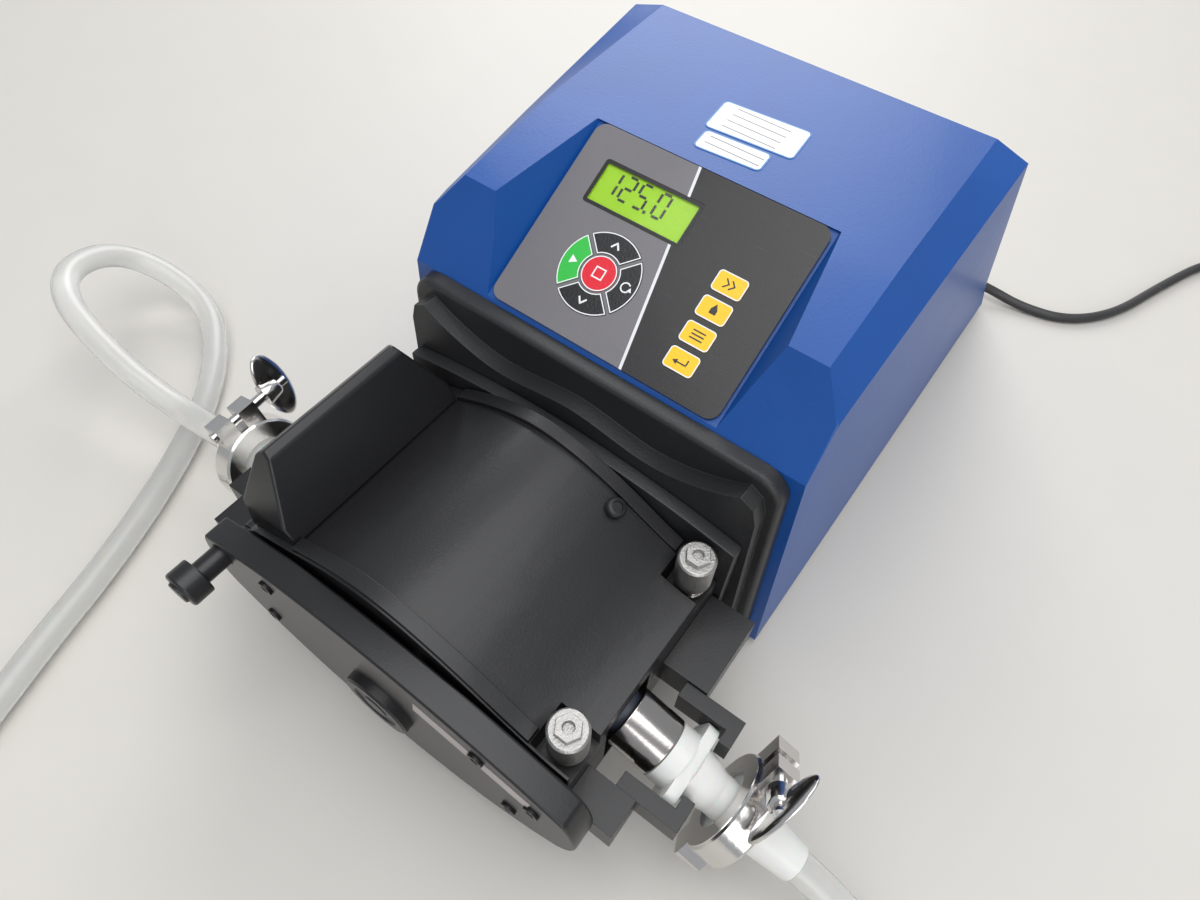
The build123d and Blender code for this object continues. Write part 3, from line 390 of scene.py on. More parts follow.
@dataclass(frozen=True)
class Finish:
    """One surface finish, with the strength of each shared effect."""

    name: str
    colour: tuple[float, float, float]
    roughness: float = 0.45
    metallic: float = 0.0
    coat: float = 0.0
    grain: float = 900.0
    grain_depth: float = 0.04
    cells: float = 0.6
    tone: float = 0.25
    dust: float = 0.1
    scuff: float = 0.1
    scuff_colour: tuple[float, float, float] = (0.5, 0.5, 0.5)
    transmission: float = 0.0
    subsurface: float = 0.0
    alpha: float = 1.0

    def base(self, tree: Tree, vector: Socket) -> object:
        """The colour before dust and scuffs: a value, or a socket in a patterned finish."""
        return (*self.colour, 1.0)

    def build(self) -> bpy.types.Material:
        """Make the material.

        Returns:
            The material with its Principled shader fed by the shared effects.
        """
        material = bpy.data.materials.new(self.name)
        material.use_nodes = True
        tree = material.node_tree
        shader = tree.nodes["Principled BSDF"]
        vector = tree.nodes.new("ShaderNodeTexCoord").outputs["Object"]
        tone = self.effect(tree, Group.TONE, vector, Spread=self.tone)
        colour = self.base(tree, vector)
        if isinstance(colour, Socket):
            link(tree, colour, tone.inputs["Colour"])
        else:
            tone.inputs["Colour"].default_value = colour
        scuff = self.effect(tree, Group.SCUFF, vector, Amount=self.scuff)
        scuffed = mix_colour(tree, scuff.outputs["Mask"], tone.outputs["Colour"],
                             (*self.scuff_colour, 1.0))
        dust = self.effect(tree, Group.DUST, vector, Amount=self.dust, Roughness=self.roughness)
        link(tree, scuffed, dust.inputs["Colour"])
        link(tree, dust.outputs["Colour"], shader.inputs["Base Color"])
        link(tree, dust.outputs["Roughness"], shader.inputs["Roughness"])
        grain = self.effect(tree, Group.GRAIN, vector, Scale=self.grain, Cells=self.cells)
        bump = tree.nodes.new("ShaderNodeBump")
        bump.inputs["Strength"].default_value = min(1.0, self.grain_depth * 10)
        bump.inputs["Distance"].default_value = 0.0002
        link(tree, grain.outputs["Height"], bump.inputs["Height"])
        link(tree, bump.outputs["Normal"], shader.inputs["Normal"])
        shader.inputs["Metallic"].default_value = self.metallic
        shader.inputs["Coat Weight"].default_value = self.coat
        shader.inputs["Coat Roughness"].default_value = 0.12
        shader.inputs["Transmission Weight"].default_value = self.transmission
        shader.inputs["Subsurface Weight"].default_value = self.subsurface
        shader.inputs["Subsurface Scale"].default_value = 0.004
        shader.inputs["Alpha"].default_value = self.alpha
        return material

    @staticmethod
    def effect(tree: Tree, kind: Group, vector: Socket,
               **values: float) -> bpy.types.ShaderNodeGroup:
        """Place one shared effect in a material with its values."""
        node = tree.nodes.new("ShaderNodeGroup")
        node.node_tree = bpy.data.node_groups[kind.value]
        link(tree, vector, node.inputs["Vector"])
        for name, value in values.items():
            node.inputs[name].default_value = value
        return node


@dataclass(frozen=True)
class KeypadFilm(Finish):
    """Membrane film: grey on the left, black on the right, a pale line between them."""

    dark: tuple[float, float, float] = (0.014, 0.013, 0.014)
    line: tuple[float, float, float] = (0.75, 0.75, 0.76)
    line_half: float = 0.75 * MM
    line_top: float = -6.6 * MM
    line_foot: float = 13.8 * MM

    def base(self, tree: Tree, vector: Socket) -> object:
        """Colour by which side of the slanting line a point is on."""
        parts = tree.nodes.new("ShaderNodeSeparateXYZ")
        link(tree, vector, parts.inputs[0])
        down = math_node(tree, "SUBTRACT", KEY_TOP.y, parts.outputs["Y"])
        lean = (self.line_foot - self.line_top) / KEY_LENGTH / math.cos(KEY_SLOPE)
        edge = math_node(tree, "ADD", math_node(tree, "MULTIPLY", down, lean), self.line_top)
        beyond = math_node(tree, "SUBTRACT", parts.outputs["X"], edge)
        right = math_node(tree, "GREATER_THAN", beyond, 0.0)
        on_line = math_node(tree, "LESS_THAN", math_node(tree, "ABSOLUTE", beyond), self.line_half)
        halves = mix_colour(tree, right, (*self.colour, 1.0), (*self.dark, 1.0))
        return mix_colour(tree, on_line, halves, (*self.line, 1.0))


@dataclass(frozen=True)
class PrintedFilm(Finish):
    """White label with a few plain rules across it."""

    ink: tuple[float, float, float] = (0.12, 0.12, 0.14)
    pitch: float = 5.2 * MM
    share: float = 0.13
    half: float = 15.0 * MM

    def base(self, tree: Tree, vector: Socket) -> object:
        """Colour by distance across the label."""
        parts = tree.nodes.new("ShaderNodeSeparateXYZ")
        link(tree, vector, parts.inputs[0])
        along = math_node(tree, "DIVIDE", parts.outputs["Y"], self.pitch)
        rule = math_node(tree, "LESS_THAN", math_node(tree, "FRACT", along), self.share)
        inner = math_node(tree, "LESS_THAN", math_node(tree, "ABSOLUTE", parts.outputs["X"]), self.half)
        mask = math_node(tree, "MULTIPLY", rule, inner)
        return mix_colour(tree, mask, (*self.colour, 1.0), (*self.ink, 1.0))


class Paint:
    """The workshop's finishes, each made into a material the first time it is used."""

    BLUE = Finish("blue_enamel", (0.001, 0.068, 0.31), roughness=0.44, coat=0.08, grain=620,
                  grain_depth=0.035, tone=0.25, dust=0.006, scuff=0.015, scuff_colour=(0.1, 0.25, 0.55))
    PAN = Finish("grey_moulding", (0.16, 0.16, 0.17), roughness=0.55, dust=0.12, grain_depth=0.06)
    BEZEL = Finish("bezel_moulding", (0.017, 0.0175, 0.019), roughness=0.46, dust=0.014,
                   grain_depth=0.05, scuff=0.03, scuff_colour=(0.1, 0.1, 0.1))
    BLACK = Finish("black_moulding", (0.0085, 0.0085, 0.0098), roughness=0.37, coat=0.06,
                   grain_depth=0.02, dust=0.008, scuff=0.06, scuff_colour=(0.07, 0.07, 0.075), tone=0.5)
    DARK_STEEL = Finish("blackened_steel", (0.03, 0.03, 0.032), roughness=0.35, metallic=0.8, dust=0.03)
    FILM = KeypadFilm("keypad_film", (0.17, 0.162, 0.172), roughness=0.34, coat=0.1, grain=2200,
                      grain_depth=0.03, dust=0.01, scuff=0.02)
    KEY_BLACK = Finish("key_black", (0.012, 0.012, 0.013), roughness=0.3, dust=0.01, scuff=0.02)
    KEY_RED = Finish("key_red", (0.72, 0.012, 0.03), roughness=0.32, dust=0.006, scuff=0.01)
    KEY_GREEN = Finish("key_green", (0.03, 0.5, 0.06), roughness=0.32, dust=0.006, scuff=0.01)
    KEY_YELLOW = Finish("key_yellow", (0.95, 0.56, 0.008), roughness=0.32, dust=0.006, scuff=0.01)
    MARK = Finish("white_print", (0.85, 0.85, 0.86), roughness=0.4, dust=0.0, scuff=0.0, tone=0.1)
    INK = Finish("dark_print", (0.03, 0.03, 0.03), roughness=0.45, dust=0.0, scuff=0.0, tone=0.1)
    DISPLAY = Finish("display_glow", (0.36, 0.66, 0.008), roughness=0.45, dust=0.0, scuff=0.0,
                     tone=0.25, grain=3000)
    WINDOW = Finish("clear_window", (0.95, 1.0, 0.95), roughness=0.08, transmission=1.0, dust=0.0,
                    scuff=0.0, tone=0.0, grain_depth=0.0, alpha=0.25)
    LABEL = PrintedFilm("label_film", (0.8, 0.8, 0.78), roughness=0.4, dust=0.03, scuff=0.02, tone=0.15)
    LABEL_BLUE = Finish("label_blue", (0.05, 0.2, 0.5), roughness=0.4, dust=0.006, scuff=0.01)
    BOARD = Finish("circuit_board", (0.01, 0.16, 0.05), roughness=0.4)
    CASTING = Finish("gear_casting", (0.55, 0.55, 0.56), roughness=0.5, metallic=0.9, grain=500,
                     grain_depth=0.08)
    CAN = Finish("plated_can", (0.5, 0.5, 0.5), roughness=0.35, metallic=0.9)
    BRIGHT = Finish("turned_aluminium", (0.46, 0.45, 0.435), roughness=0.38, metallic=1.0,
                    grain=1300, grain_depth=0.09, tone=0.7, dust=0.04, scuff=0.4,
                    scuff_colour=(0.4, 0.38, 0.34))
    STEEL = Finish("bright_steel", (0.5, 0.47, 0.45), roughness=0.17, metallic=1.0, grain_depth=0.01,
                   tone=0.2, dust=0.02, scuff=0.08)
    CHROME = Finish("polished_steel", (0.72, 0.7, 0.68), roughness=0.16, metallic=1.0, grain=300,
                    grain_depth=0.02, cells=0.9, tone=0.2, dust=0.05, scuff=0.08)
    NYLON = Finish("pale_nylon", (0.7, 0.69, 0.64), roughness=0.45, subsurface=0.1)
    TUBE = Finish("tube_rubber", (0.035, 0.045, 0.07), roughness=0.4, grain_depth=0.03, dust=0.08)
    MILKY = Finish("milky_plastic", (0.8, 0.8, 0.77), roughness=0.32, subsurface=0.25, grain_depth=0.02,
                   dust=0.03, tone=0.08, scuff=0.03)
    HOSE = Finish("clear_hose", (0.9, 0.9, 0.87), roughness=0.22, transmission=0.7, subsurface=0.15,
                  grain=400, grain_depth=0.02, dust=0.04, tone=0.06, scuff=0.03)
    SHEATH = Finish("lead_sheath", (0.02, 0.02, 0.021), roughness=0.42, grain_depth=0.03, dust=0.08)
    LABEL_STRIP = Finish("head_label", (0.42, 0.38, 0.37), roughness=0.45, dust=0.05, tone=0.6)
    FLOOR = Finish("pale_table", (0.63, 0.605, 0.56), roughness=0.5, grain=60, grain_depth=0.01,
                   tone=0.04, dust=0.0, scuff=0.0)

    _made: dict[str, bpy.types.Material] = {}

    @classmethod
    def material(cls, finish: Finish) -> bpy.types.Material:
        """The material of one finish, made once."""
        if not cls._made:
            for build in (build_grain, build_tone, build_dust, build_scuff):
                build()
        if finish.name not in cls._made:
            cls._made[finish.name] = finish.build()
        return cls._made[finish.name]

    @classmethod
    def coat(cls, piece: Piece, *finishes: Finish) -> None:
        """Give a piece its materials in slot order."""
        piece.data.materials.clear()
        for finish in finishes:
            piece.data.materials.append(cls.material(finish))


def publish(piece: Piece, body: str, slot: str, *finishes: Finish,
            nodes: Iterable[str] = ()) -> Piece:
    """Finish a piece, put it on its body and report it.

    Args:
        piece: the finished piece, settled at the origin.
        body: the CAD body that it rides on.
        slot: a material slot's name; not used.
        finishes: its finishes in slot order, or none to keep its own materials.
        nodes: the CAD nodes that it stands for.

    Returns:
        The same piece.
    """
    if finishes:
        Paint.coat(piece, *finishes)
    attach(piece, body)
    nodes = tuple(nodes)
    if nodes:
        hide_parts(*nodes)
    log.info("%s on %s", piece.name, body)
    return piece


def dress(node: str, body: str, slot: str, finish: Finish, width: float = 0.6 * MM,
          segments: int = 2, degrees: float = 32.0) -> Piece:
    """Show a CAD node as a clean copy with rounded edges and a finish."""
    piece = merged_copy(node)
    soften(piece, width, segments, degrees)
    return publish(piece, body, slot, finish, nodes=(node,))


# ------------------------------------------------------------------ drive case
@dataclass
class DriveCase:
    """Blue cover, bezel, base, rear fittings, labels and what is inside."""

    edge: float = 2.6 * MM
    inner: tuple[tuple[str, str, Finish], ...] = (
        ("gearbox", "gear_casting", Paint.CASTING), ("motor", "motor_can", Paint.CAN),
        ("power_supply", "supply_case", Paint.CAN), ("control_board", "circuit_board", Paint.BOARD))

    def build(self) -> None:
        """Build and dress every piece of the case."""
        dress("case_cover", ROOT, "blue_shell", Paint.BLUE, self.edge, 4, 20.0)
        dress("front_bezel", ROOT, "grey_pan", Paint.BEZEL, 4.0 * MM, 5)
        dress("base_pan", ROOT, "grey_pan", Paint.PAN, 0.8 * MM)
        for node, finish, width in (("feet", Paint.BLACK, 0.6), ("rear_panel", Paint.BEZEL, 0.4),
                                    ("remote_socket", Paint.BLACK, 0.4), ("mains_gland", Paint.BLACK, 0.5)):
            dress(node, ROOT, "black_plastic", finish, width * MM)
        dress("mains_switch", "mains_switch", "black_plastic", Paint.BLACK, 0.3 * MM)
        for node, slot, finish in self.inner:
            dress(node, ROOT, slot, finish, 0.8 * MM)
        self.labels()

    def labels(self) -> None:
        """The two asset labels, each with a blue border."""
        piece = merged_copy("asset_labels")
        inset_facing(piece, Vector((0, -0.054, 1)).normalized(), 0.8 * MM)
        Paint.coat(piece, Paint.LABEL_BLUE, Paint.LABEL)
        for face in piece.data.polygons:
            face.material_index = 1 if face.select else 0
        smooth(piece)
        publish(piece, ROOT, "label_film", nodes=("asset_labels",))


# ------------------------------------------------------------------ keypad
class Icon(Enum):
    """Plain symbols printed on the keys."""

    SQUARE = "square"
    PLAY = "play"
    UP = "up"
    DOWN = "down"
    TURN = "turn"
    CHEVRONS = "chevrons"
    DROP = "drop"
    BARS = "bars"
    ENTER = "enter"


@dataclass(frozen=True)
class KeySpec:
    """One key: its node, slot, finish, symbol and place on the keypad."""

    node: str
    slot: str
    finish: Finish
    icon: Icon
    across: float
    down: float


@dataclass
class Keypad:
    """Membrane keypad with its keys, window and digits."""

    cluster: tuple[float, float] = (-20.8 * MM, 67.5 * MM)
    ring: float = 15.4 * MM
    display: tuple[float, float] = (-22.0 * MM, 27.6 * MM)
    digit: tuple[float, float] = (5.4 * MM, 12.6 * MM)
    stroke: float = 1.35 * MM
    ink: float = 0.06 * MM
    outline: float = 0.55 * MM

    def place(self, across: float, down: float, lift: float = 0.0) -> Matrix:
        """Frame on the keypad's face at a point, raised by lift."""
        spot = KEY_TOP + Vector((across, 0, 0)) + KEY_DOWN * down + KEY_NORMAL * lift
        return on_plane(spot, KEY_NORMAL, ALONG_X)

    def keys(self) -> tuple[KeySpec, ...]:
        """Every key of the pad."""
        left, mid = self.cluster
        side = 36.8 * MM
        return (
            KeySpec("key_stop", "key_red", Paint.KEY_RED, Icon.SQUARE, left, mid),
            KeySpec("key_start", "key_green", Paint.KEY_GREEN, Icon.PLAY, left - self.ring, mid),
            KeySpec("key_up", "key_black", Paint.KEY_BLACK, Icon.UP, left, mid - self.ring),
            KeySpec("key_down", "key_black", Paint.KEY_BLACK, Icon.DOWN, left, mid + self.ring),
            KeySpec("key_direction", "key_black", Paint.KEY_BLACK, Icon.TURN, left + self.ring, mid),
            KeySpec("key_max", "key_yellow", Paint.KEY_YELLOW, Icon.CHEVRONS, side, 43.9 * MM),
            KeySpec("key_dose", "key_yellow", Paint.KEY_YELLOW, Icon.DROP, side, 57.5 * MM),
            KeySpec("key_menu", "key_yellow", Paint.KEY_YELLOW, Icon.BARS, side, 71.2 * MM),
            KeySpec("key_enter", "key_yellow", Paint.KEY_YELLOW, Icon.ENTER, side, 84.9 * MM),
        )

    def stroke_box(self, across: float, down: float, long: float, wide: float, lift: float,
                   turn: float = 0.0) -> Piece:
        """One printed stroke on the keypad's face, as a thin chip."""
        place = self.place(across, down, lift) @ Matrix.Rotation(turn, 4, "Z")
        return block("stroke", (long, wide, self.ink), place, self.ink * 0.3)

    def triangle(self, across: float, down: float, radius: float, turn: float,
                 lift: float) -> Piece:
        """One printed triangle that points along turn."""
        deselect()
        bpy.ops.mesh.primitive_cylinder_add(vertices=3, radius=radius, depth=self.ink,
                                            rotation=(0, 0, -math.pi / 2))
        piece = settle(bpy.context.object)
        smooth(piece)
        return move_to(piece, self.place(across, down, lift) @ Matrix.Rotation(turn, 4, "Z"))

    def icon(self, key: KeySpec) -> Piece:
        """The symbol of one key.

        Args:
            key: the key that it is printed on.

        Returns:
            The symbol as one mesh on the key's face.
        """
        lift = KEY_PROUD + self.ink / 2
        x, d = key.across, key.down
        quarter = math.pi / 2
        thin = 0.7 * MM
        made: list[Piece] = []
        if key.icon is Icon.SQUARE:
            for step in (-1, 1):
                made.append(self.stroke_box(x + step * 2.6 * MM, d, thin, 5.9 * MM, lift))
                made.append(self.stroke_box(x, d + step * 2.6 * MM, 4.5 * MM, thin, lift))
        elif key.icon is Icon.PLAY:
            made.append(self.triangle(x, d, 2.6 * MM, 0.0, lift))
        elif key.icon in (Icon.UP, Icon.DOWN):
            lean = 0.95 if key.icon is Icon.UP else -0.95
            made.append(self.stroke_box(x - 1.0 * MM, d, 3.9 * MM, 0.9 * MM, lift, lean))
            made.append(self.stroke_box(x + 1.0 * MM, d, 3.9 * MM, 0.9 * MM, lift, -lean))
        elif key.icon is Icon.TURN:
            for step in range(9):
                turn = math.radians(60 + step * 33)
                made.append(self.stroke_box(x + 2.3 * MM * math.cos(turn), d - 2.3 * MM * math.sin(turn),
                                            1.5 * MM, thin, lift, turn + quarter))
            made.append(self.triangle(x + 2.5 * MM, d + 0.5 * MM, 1.4 * MM, quarter, lift))
        elif key.icon is Icon.CHEVRONS:
            for step in (-1.5, 1.5):
                for half in (-1, 1):
                    made.append(self.stroke_box(x + step * MM, d + half * 1.1 * MM, 3.4 * MM, thin, lift,
                                                half * math.pi / 4))
        elif key.icon is Icon.DROP:
            made.append(self.triangle(x, d - 1.2 * MM, 2.0 * MM, quarter, lift))
            made.append(self.stroke_box(x, d + 0.9 * MM, 3.4 * MM, 2.2 * MM, lift))
        elif key.icon is Icon.BARS:
            for step in (-1.9, 0.0, 1.9):
                made.append(self.stroke_box(x, d + step * MM, 6.6 * MM, thin, lift))
        else:
            made.append(self.stroke_box(x + 0.6 * MM, d + 1.0 * MM, 5.0 * MM, thin, lift))
            made.append(self.stroke_box(x + 2.9 * MM, d - 0.6 * MM, thin, 2.5 * MM, lift))
            made.append(self.triangle(x - 2.6 * MM, d + 1.0 * MM, 1.6 * MM, math.pi, lift))
        return join(f"{key.node}_mark", made)

    @staticmethod
    def bordered(node: str, width: float, inner: Finish, border: Finish) -> Piece:
        """Copy of a keypad node whose top face has a border of a second finish."""
        piece = merged_copy(node)
        inset_facing(piece, KEY_NORMAL, width)
        Paint.coat(piece, inner, border)
        for face in piece.data.polygons:
            on_border = face.normal.dot(KEY_NORMAL) > FACING and not face.select
            face.material_index = 1 if on_border else 0
        smooth(piece)
        return piece

    def build_key(self, key: KeySpec) -> None:
        """One key with its border and symbol."""
        piece = self.bordered(key.node, self.outline, key.finish, Paint.MARK)
        publish(piece, key.node, key.slot, nodes=(key.node,))
        mark = Paint.INK if key.slot == "key_yellow" else Paint.MARK
        publish(self.icon(key), key.node, key.slot, mark)

    def build_digits(self) -> None:
        """Seven-segment figures on the display."""
        wide, high = self.digit
        lift = -1.16 * MM
        centre, line = self.display[0] - 6.0 * MM, self.display[1] - 2.6 * MM
        lit = {"0": "abcdef", "1": "bc", "2": "abged", "5": "afgcd"}
        spots = {"a": (0, -1, 0), "d": (0, 1, 0), "g": (0, 0, 0), "f": (-1, -0.5, 1), "b": (1, -0.5, 1),
                 "e": (-1, 0.5, 1), "c": (1, 0.5, 1)}
        made: list[Piece] = []
        pitch = wide + 3.2 * MM
        for index, digit in enumerate("1250"):
            shift = centre + (index - 1.5) * pitch + (2.2 * MM if index == 3 else 0.0)
            for name in lit[digit]:
                column, row, upright = spots[name]
                size = (wide - 1.1 * self.stroke, self.stroke)
                if upright:
                    size = (self.stroke, high / 2 - 1.1 * self.stroke)
                across, down = shift + column * wide / 2, line + row * high / 2
                made.append(self.stroke_box(across, down, *size, lift))
        dot = 1.6 * MM
        made.append(self.stroke_box(centre + 1.5 * pitch - 4.0 * MM, line + high / 2, dot, dot, lift))
        publish(join("display_digits", made), ROOT, "display_panel", Paint.INK)

    def build(self) -> None:
        """Build the whole keypad."""
        dress("keypad_plate", ROOT, "keypad_film", Paint.FILM, 0.35 * MM)
        for key in self.keys():
            self.build_key(key)
        dress("lcd_module", ROOT, "display_panel", Paint.DISPLAY, 0.2 * MM)
        self.build_digits()
        self.build_window()

    def build_window(self) -> None:
        """The display window with its black printed border."""
        piece = self.bordered("lcd_window", 1.9 * MM, Paint.WINDOW, Paint.KEY_BLACK)
        publish(piece, ROOT, "display_window", nodes=("lcd_window",))


# ------------------------------------------------------------------ pumphead
@dataclass
class Pumphead:
    """Black roller pumphead with its hinged track, rotor, nuts and front cover."""

    nut_x: float = 87.0 * MM
    nut_ys: dict[str, float] = field(default_factory=lambda: {"lock_nut_rear": FRONT - 36.5 * MM,
                                                              "lock_nut_front": FRONT - 132.0 * MM})
    hub: Vector = field(default_factory=lambda: Vector((0.0, FRONT - 165.0 * MM, AXIS_Z)))

    def build(self) -> None:
        """Build and dress the pumphead."""
        dress("head_flange", ROOT, "grey_pan", Paint.BEZEL, 1.0 * MM)
        dress("head_body", ROOT, "black_plastic", Paint.BLACK, 0.9 * MM)
        dress("track", "track_lid", "black_plastic", Paint.BLACK, 1.2 * MM, 3)
        dress("track_handle", "track_lid", "black_plastic", Paint.BLACK, 1.8 * MM, 4)
        dress("front_cover", ROOT, "black_plastic", Paint.BLACK, 1.6 * MM, 3)
        dress("pull_knob", "pull_knob", "black_plastic", Paint.BLACK, 0.7 * MM)
        dress("port_blocks", ROOT, "black_plastic", Paint.BLACK, 0.9 * MM)
        dress("head_fasteners", ROOT, "dark_steel", Paint.DARK_STEEL, 0.3 * MM)
        dress("bearings", ROOT, "steel", Paint.STEEL, 0.4 * MM)
        dress("rotor", "rotor", "steel", Paint.STEEL, 0.5 * MM)
        for number in range(1, 5):
            dress(f"roller_{number}", f"roller_{number}", "roller_plastic", Paint.NYLON, 0.4 * MM)
        self.build_hub()
        self.build_nuts()
        self.build_cover_trim()

    def build_hub(self) -> None:
        """Round boss on the front cover with a stepped face."""
        outline = ((18.8, 5.2), (18.8, 1.0), (17.8, 0.0), (13.0, 0.0), (12.4, 0.8), (7.0, 0.8),
                   (6.4, 0.1))
        piece = turned("hub_boss", outline, 72)
        smooth(piece)
        move_to(piece, on_plane(self.hub, Vector((0, 1, 0)), ALONG_X))
        publish(piece, ROOT, "black_plastic", Paint.BLACK, nodes=("hub_cap",))

    def build_nuts(self) -> None:
        """Lock nuts with their springs."""
        springs: list[Piece] = []
        for node, nut_y in self.nut_ys.items():
            dress(node, node, "bright_aluminium", Paint.BRIGHT, 0.5 * MM, 3)
            deselect()
            bpy.ops.mesh.primitive_circle_add(vertices=10, radius=0.9 * MM, rotation=(math.pi / 2, 0, 0),
                                              location=(6.3 * MM, 0, 0.95 * MM))
            coil = settle(bpy.context.object)
            modify(coil, "SCREW", angle=math.tau * 4, screw_offset=8.9 * MM, steps=96, render_steps=96,
                   axis="Z")
            outward(coil)
            smooth(coil)
            springs.append(move_to(coil, Matrix.Translation((self.nut_x, nut_y, 92.0 * MM))))
        wire = join("nut_springs_wire", springs)
        publish(wire, "track_lid", "steel", Paint.STEEL, nodes=("nut_springs",))

    def build_cover_trim(self) -> None:
        """Label strip on the front cover's face, and the small plunger on the track."""
        strip_spot = Vector((58.0 * MM, FRONT - 160.1 * MM, 103.0 * MM))
        strip_place = on_plane(strip_spot, Vector((0, -1, 0)), Vector((1, 0, -0.19)))
        strip = block("cover_strip", (62.0 * MM, 11.0 * MM, 0.5 * MM), strip_place, 0.15 * MM)
        publish(strip, ROOT, "black_plastic", Paint.LABEL_STRIP)
        outline = ((5.0, 0.0), (5.0, 3.0), (4.4, 3.8), (2.8, 4.0), (2.6, 3.2))
        plunger = turned("track_plunger", outline, 32)
        smooth(plunger)
        spot = Vector((43.0 * MM, FRONT - 40.0 * MM, 124.5 * MM))
        move_to(plunger, on_plane(spot, Vector((0.42, 0, 0.9)), ALONG_X))
        publish(plunger, "track_lid", "black_plastic", Paint.BLACK)


# ------------------------------------------------------------------ tube line
@dataclass
class TubeLine:
    """Tube element, collars, fittings, sanitary clamps and their wing nuts."""

    lug_spread: float = 31.0 * MM
    clamp_middle: float = 56.0 * MM
    nut_from: float = 21.0 * MM
    dish: tuple[float, float, float] = (3.2 * MM, 21.5 * MM, 9.2 * MM)
    lug_turns: dict[int, float] = field(default_factory=lambda: {1: math.radians(45),
                                                                 -1: math.radians(87)})

    def port(self, side: int, along: float) -> Matrix:
        """Frame square to a port's line, with Z outwards, along metres from the tube's end."""
        out = Vector((side * math.cos(PORT_SLOPE), 0, -math.sin(PORT_SLOPE)))
        start = Vector((side * PORT_END.x, PORT_END.y, PORT_END.z))
        return on_plane(start + out * along, out, Vector((0, side, 0)))

    def bolt(self, side: int) -> Matrix:
        """Frame at a clamp's swing bolt, with Z along the bolt towards its nut."""
        middle = self.port(side, self.clamp_middle)
        turn = self.lug_turns[side]
        lug = middle @ Vector((self.lug_spread * math.cos(turn), self.lug_spread * math.sin(turn), 0))
        along = middle.to_3x3() @ Vector((-math.sin(turn), math.cos(turn), 0))
        return on_plane(lug, along, middle.to_3x3() @ Vector((0, 0, 1)))

    def wing_nut(self, side: int, name: str) -> None:
        """Hub and its dished oval wing, turned about the bolt."""
        outline = ((3.2, 0.0), (6.4, 0.0), (6.6, 0.8), (5.4, 9.0), (4.8, 10.2), (3.2, 10.2))
        hub = turned("nut_hub", outline, 40)
        deselect()
        bpy.ops.mesh.primitive_uv_sphere_add(segments=64, ring_count=24, radius=1.0,
                                             rotation=(0, math.pi / 2, 0))
        dish = settle(bpy.context.object)
        dish.scale = self.dish
        settle(dish)
        edit(dish)
        bpy.ops.mesh.bisect(plane_co=(0.7 * MM, 0, 0), plane_no=(1, 0, 0),
                            clear_outer=True, use_fill=True)
        leave()
        for face in dish.data.polygons:
            face.select = face.normal.x > 0.99
        focus(dish)
        bpy.ops.object.mode_set(mode="EDIT")
        bpy.ops.mesh.inset(thickness=1.4 * MM, depth=-0.3 * MM)
        bpy.ops.mesh.inset(thickness=2.2 * MM, depth=-1.1 * MM)
        leave()
        soften(dish, 0.35 * MM, 2)
        move_to(dish, Matrix.Translation((1.6 * MM, 0, 9.0 * MM)))
        piece = join(f"{name}_wings", [hub, dish])
        smooth(piece, 40)
        move_to(piece, self.bolt(side) @ Matrix.Translation((0, 0, self.nut_from)))
        publish(piece, name, "polished_steel", Paint.CHROME, nodes=(name,))

    def build(self) -> None:
        """Build both ports."""
        dress("tube_element", ROOT, "tube_rubber", Paint.TUBE, 0.3 * MM)
        dress("collars", ROOT, "steel", Paint.STEEL, 1.1 * MM, 3)
        for side, word in ((-1, "left"), (1, "right")):
            dress(f"fitting_{word}", ROOT, "white_fitting", Paint.MILKY, 0.9 * MM, 3)
            dress(f"adaptor_{word}", ROOT, "white_fitting", Paint.MILKY, 0.7 * MM, 3)
            dress(f"clamp_{word}", ROOT, "polished_steel", Paint.CHROME, 1.1 * MM, 3)
            self.wing_nut(side, f"wing_nut_{word}")


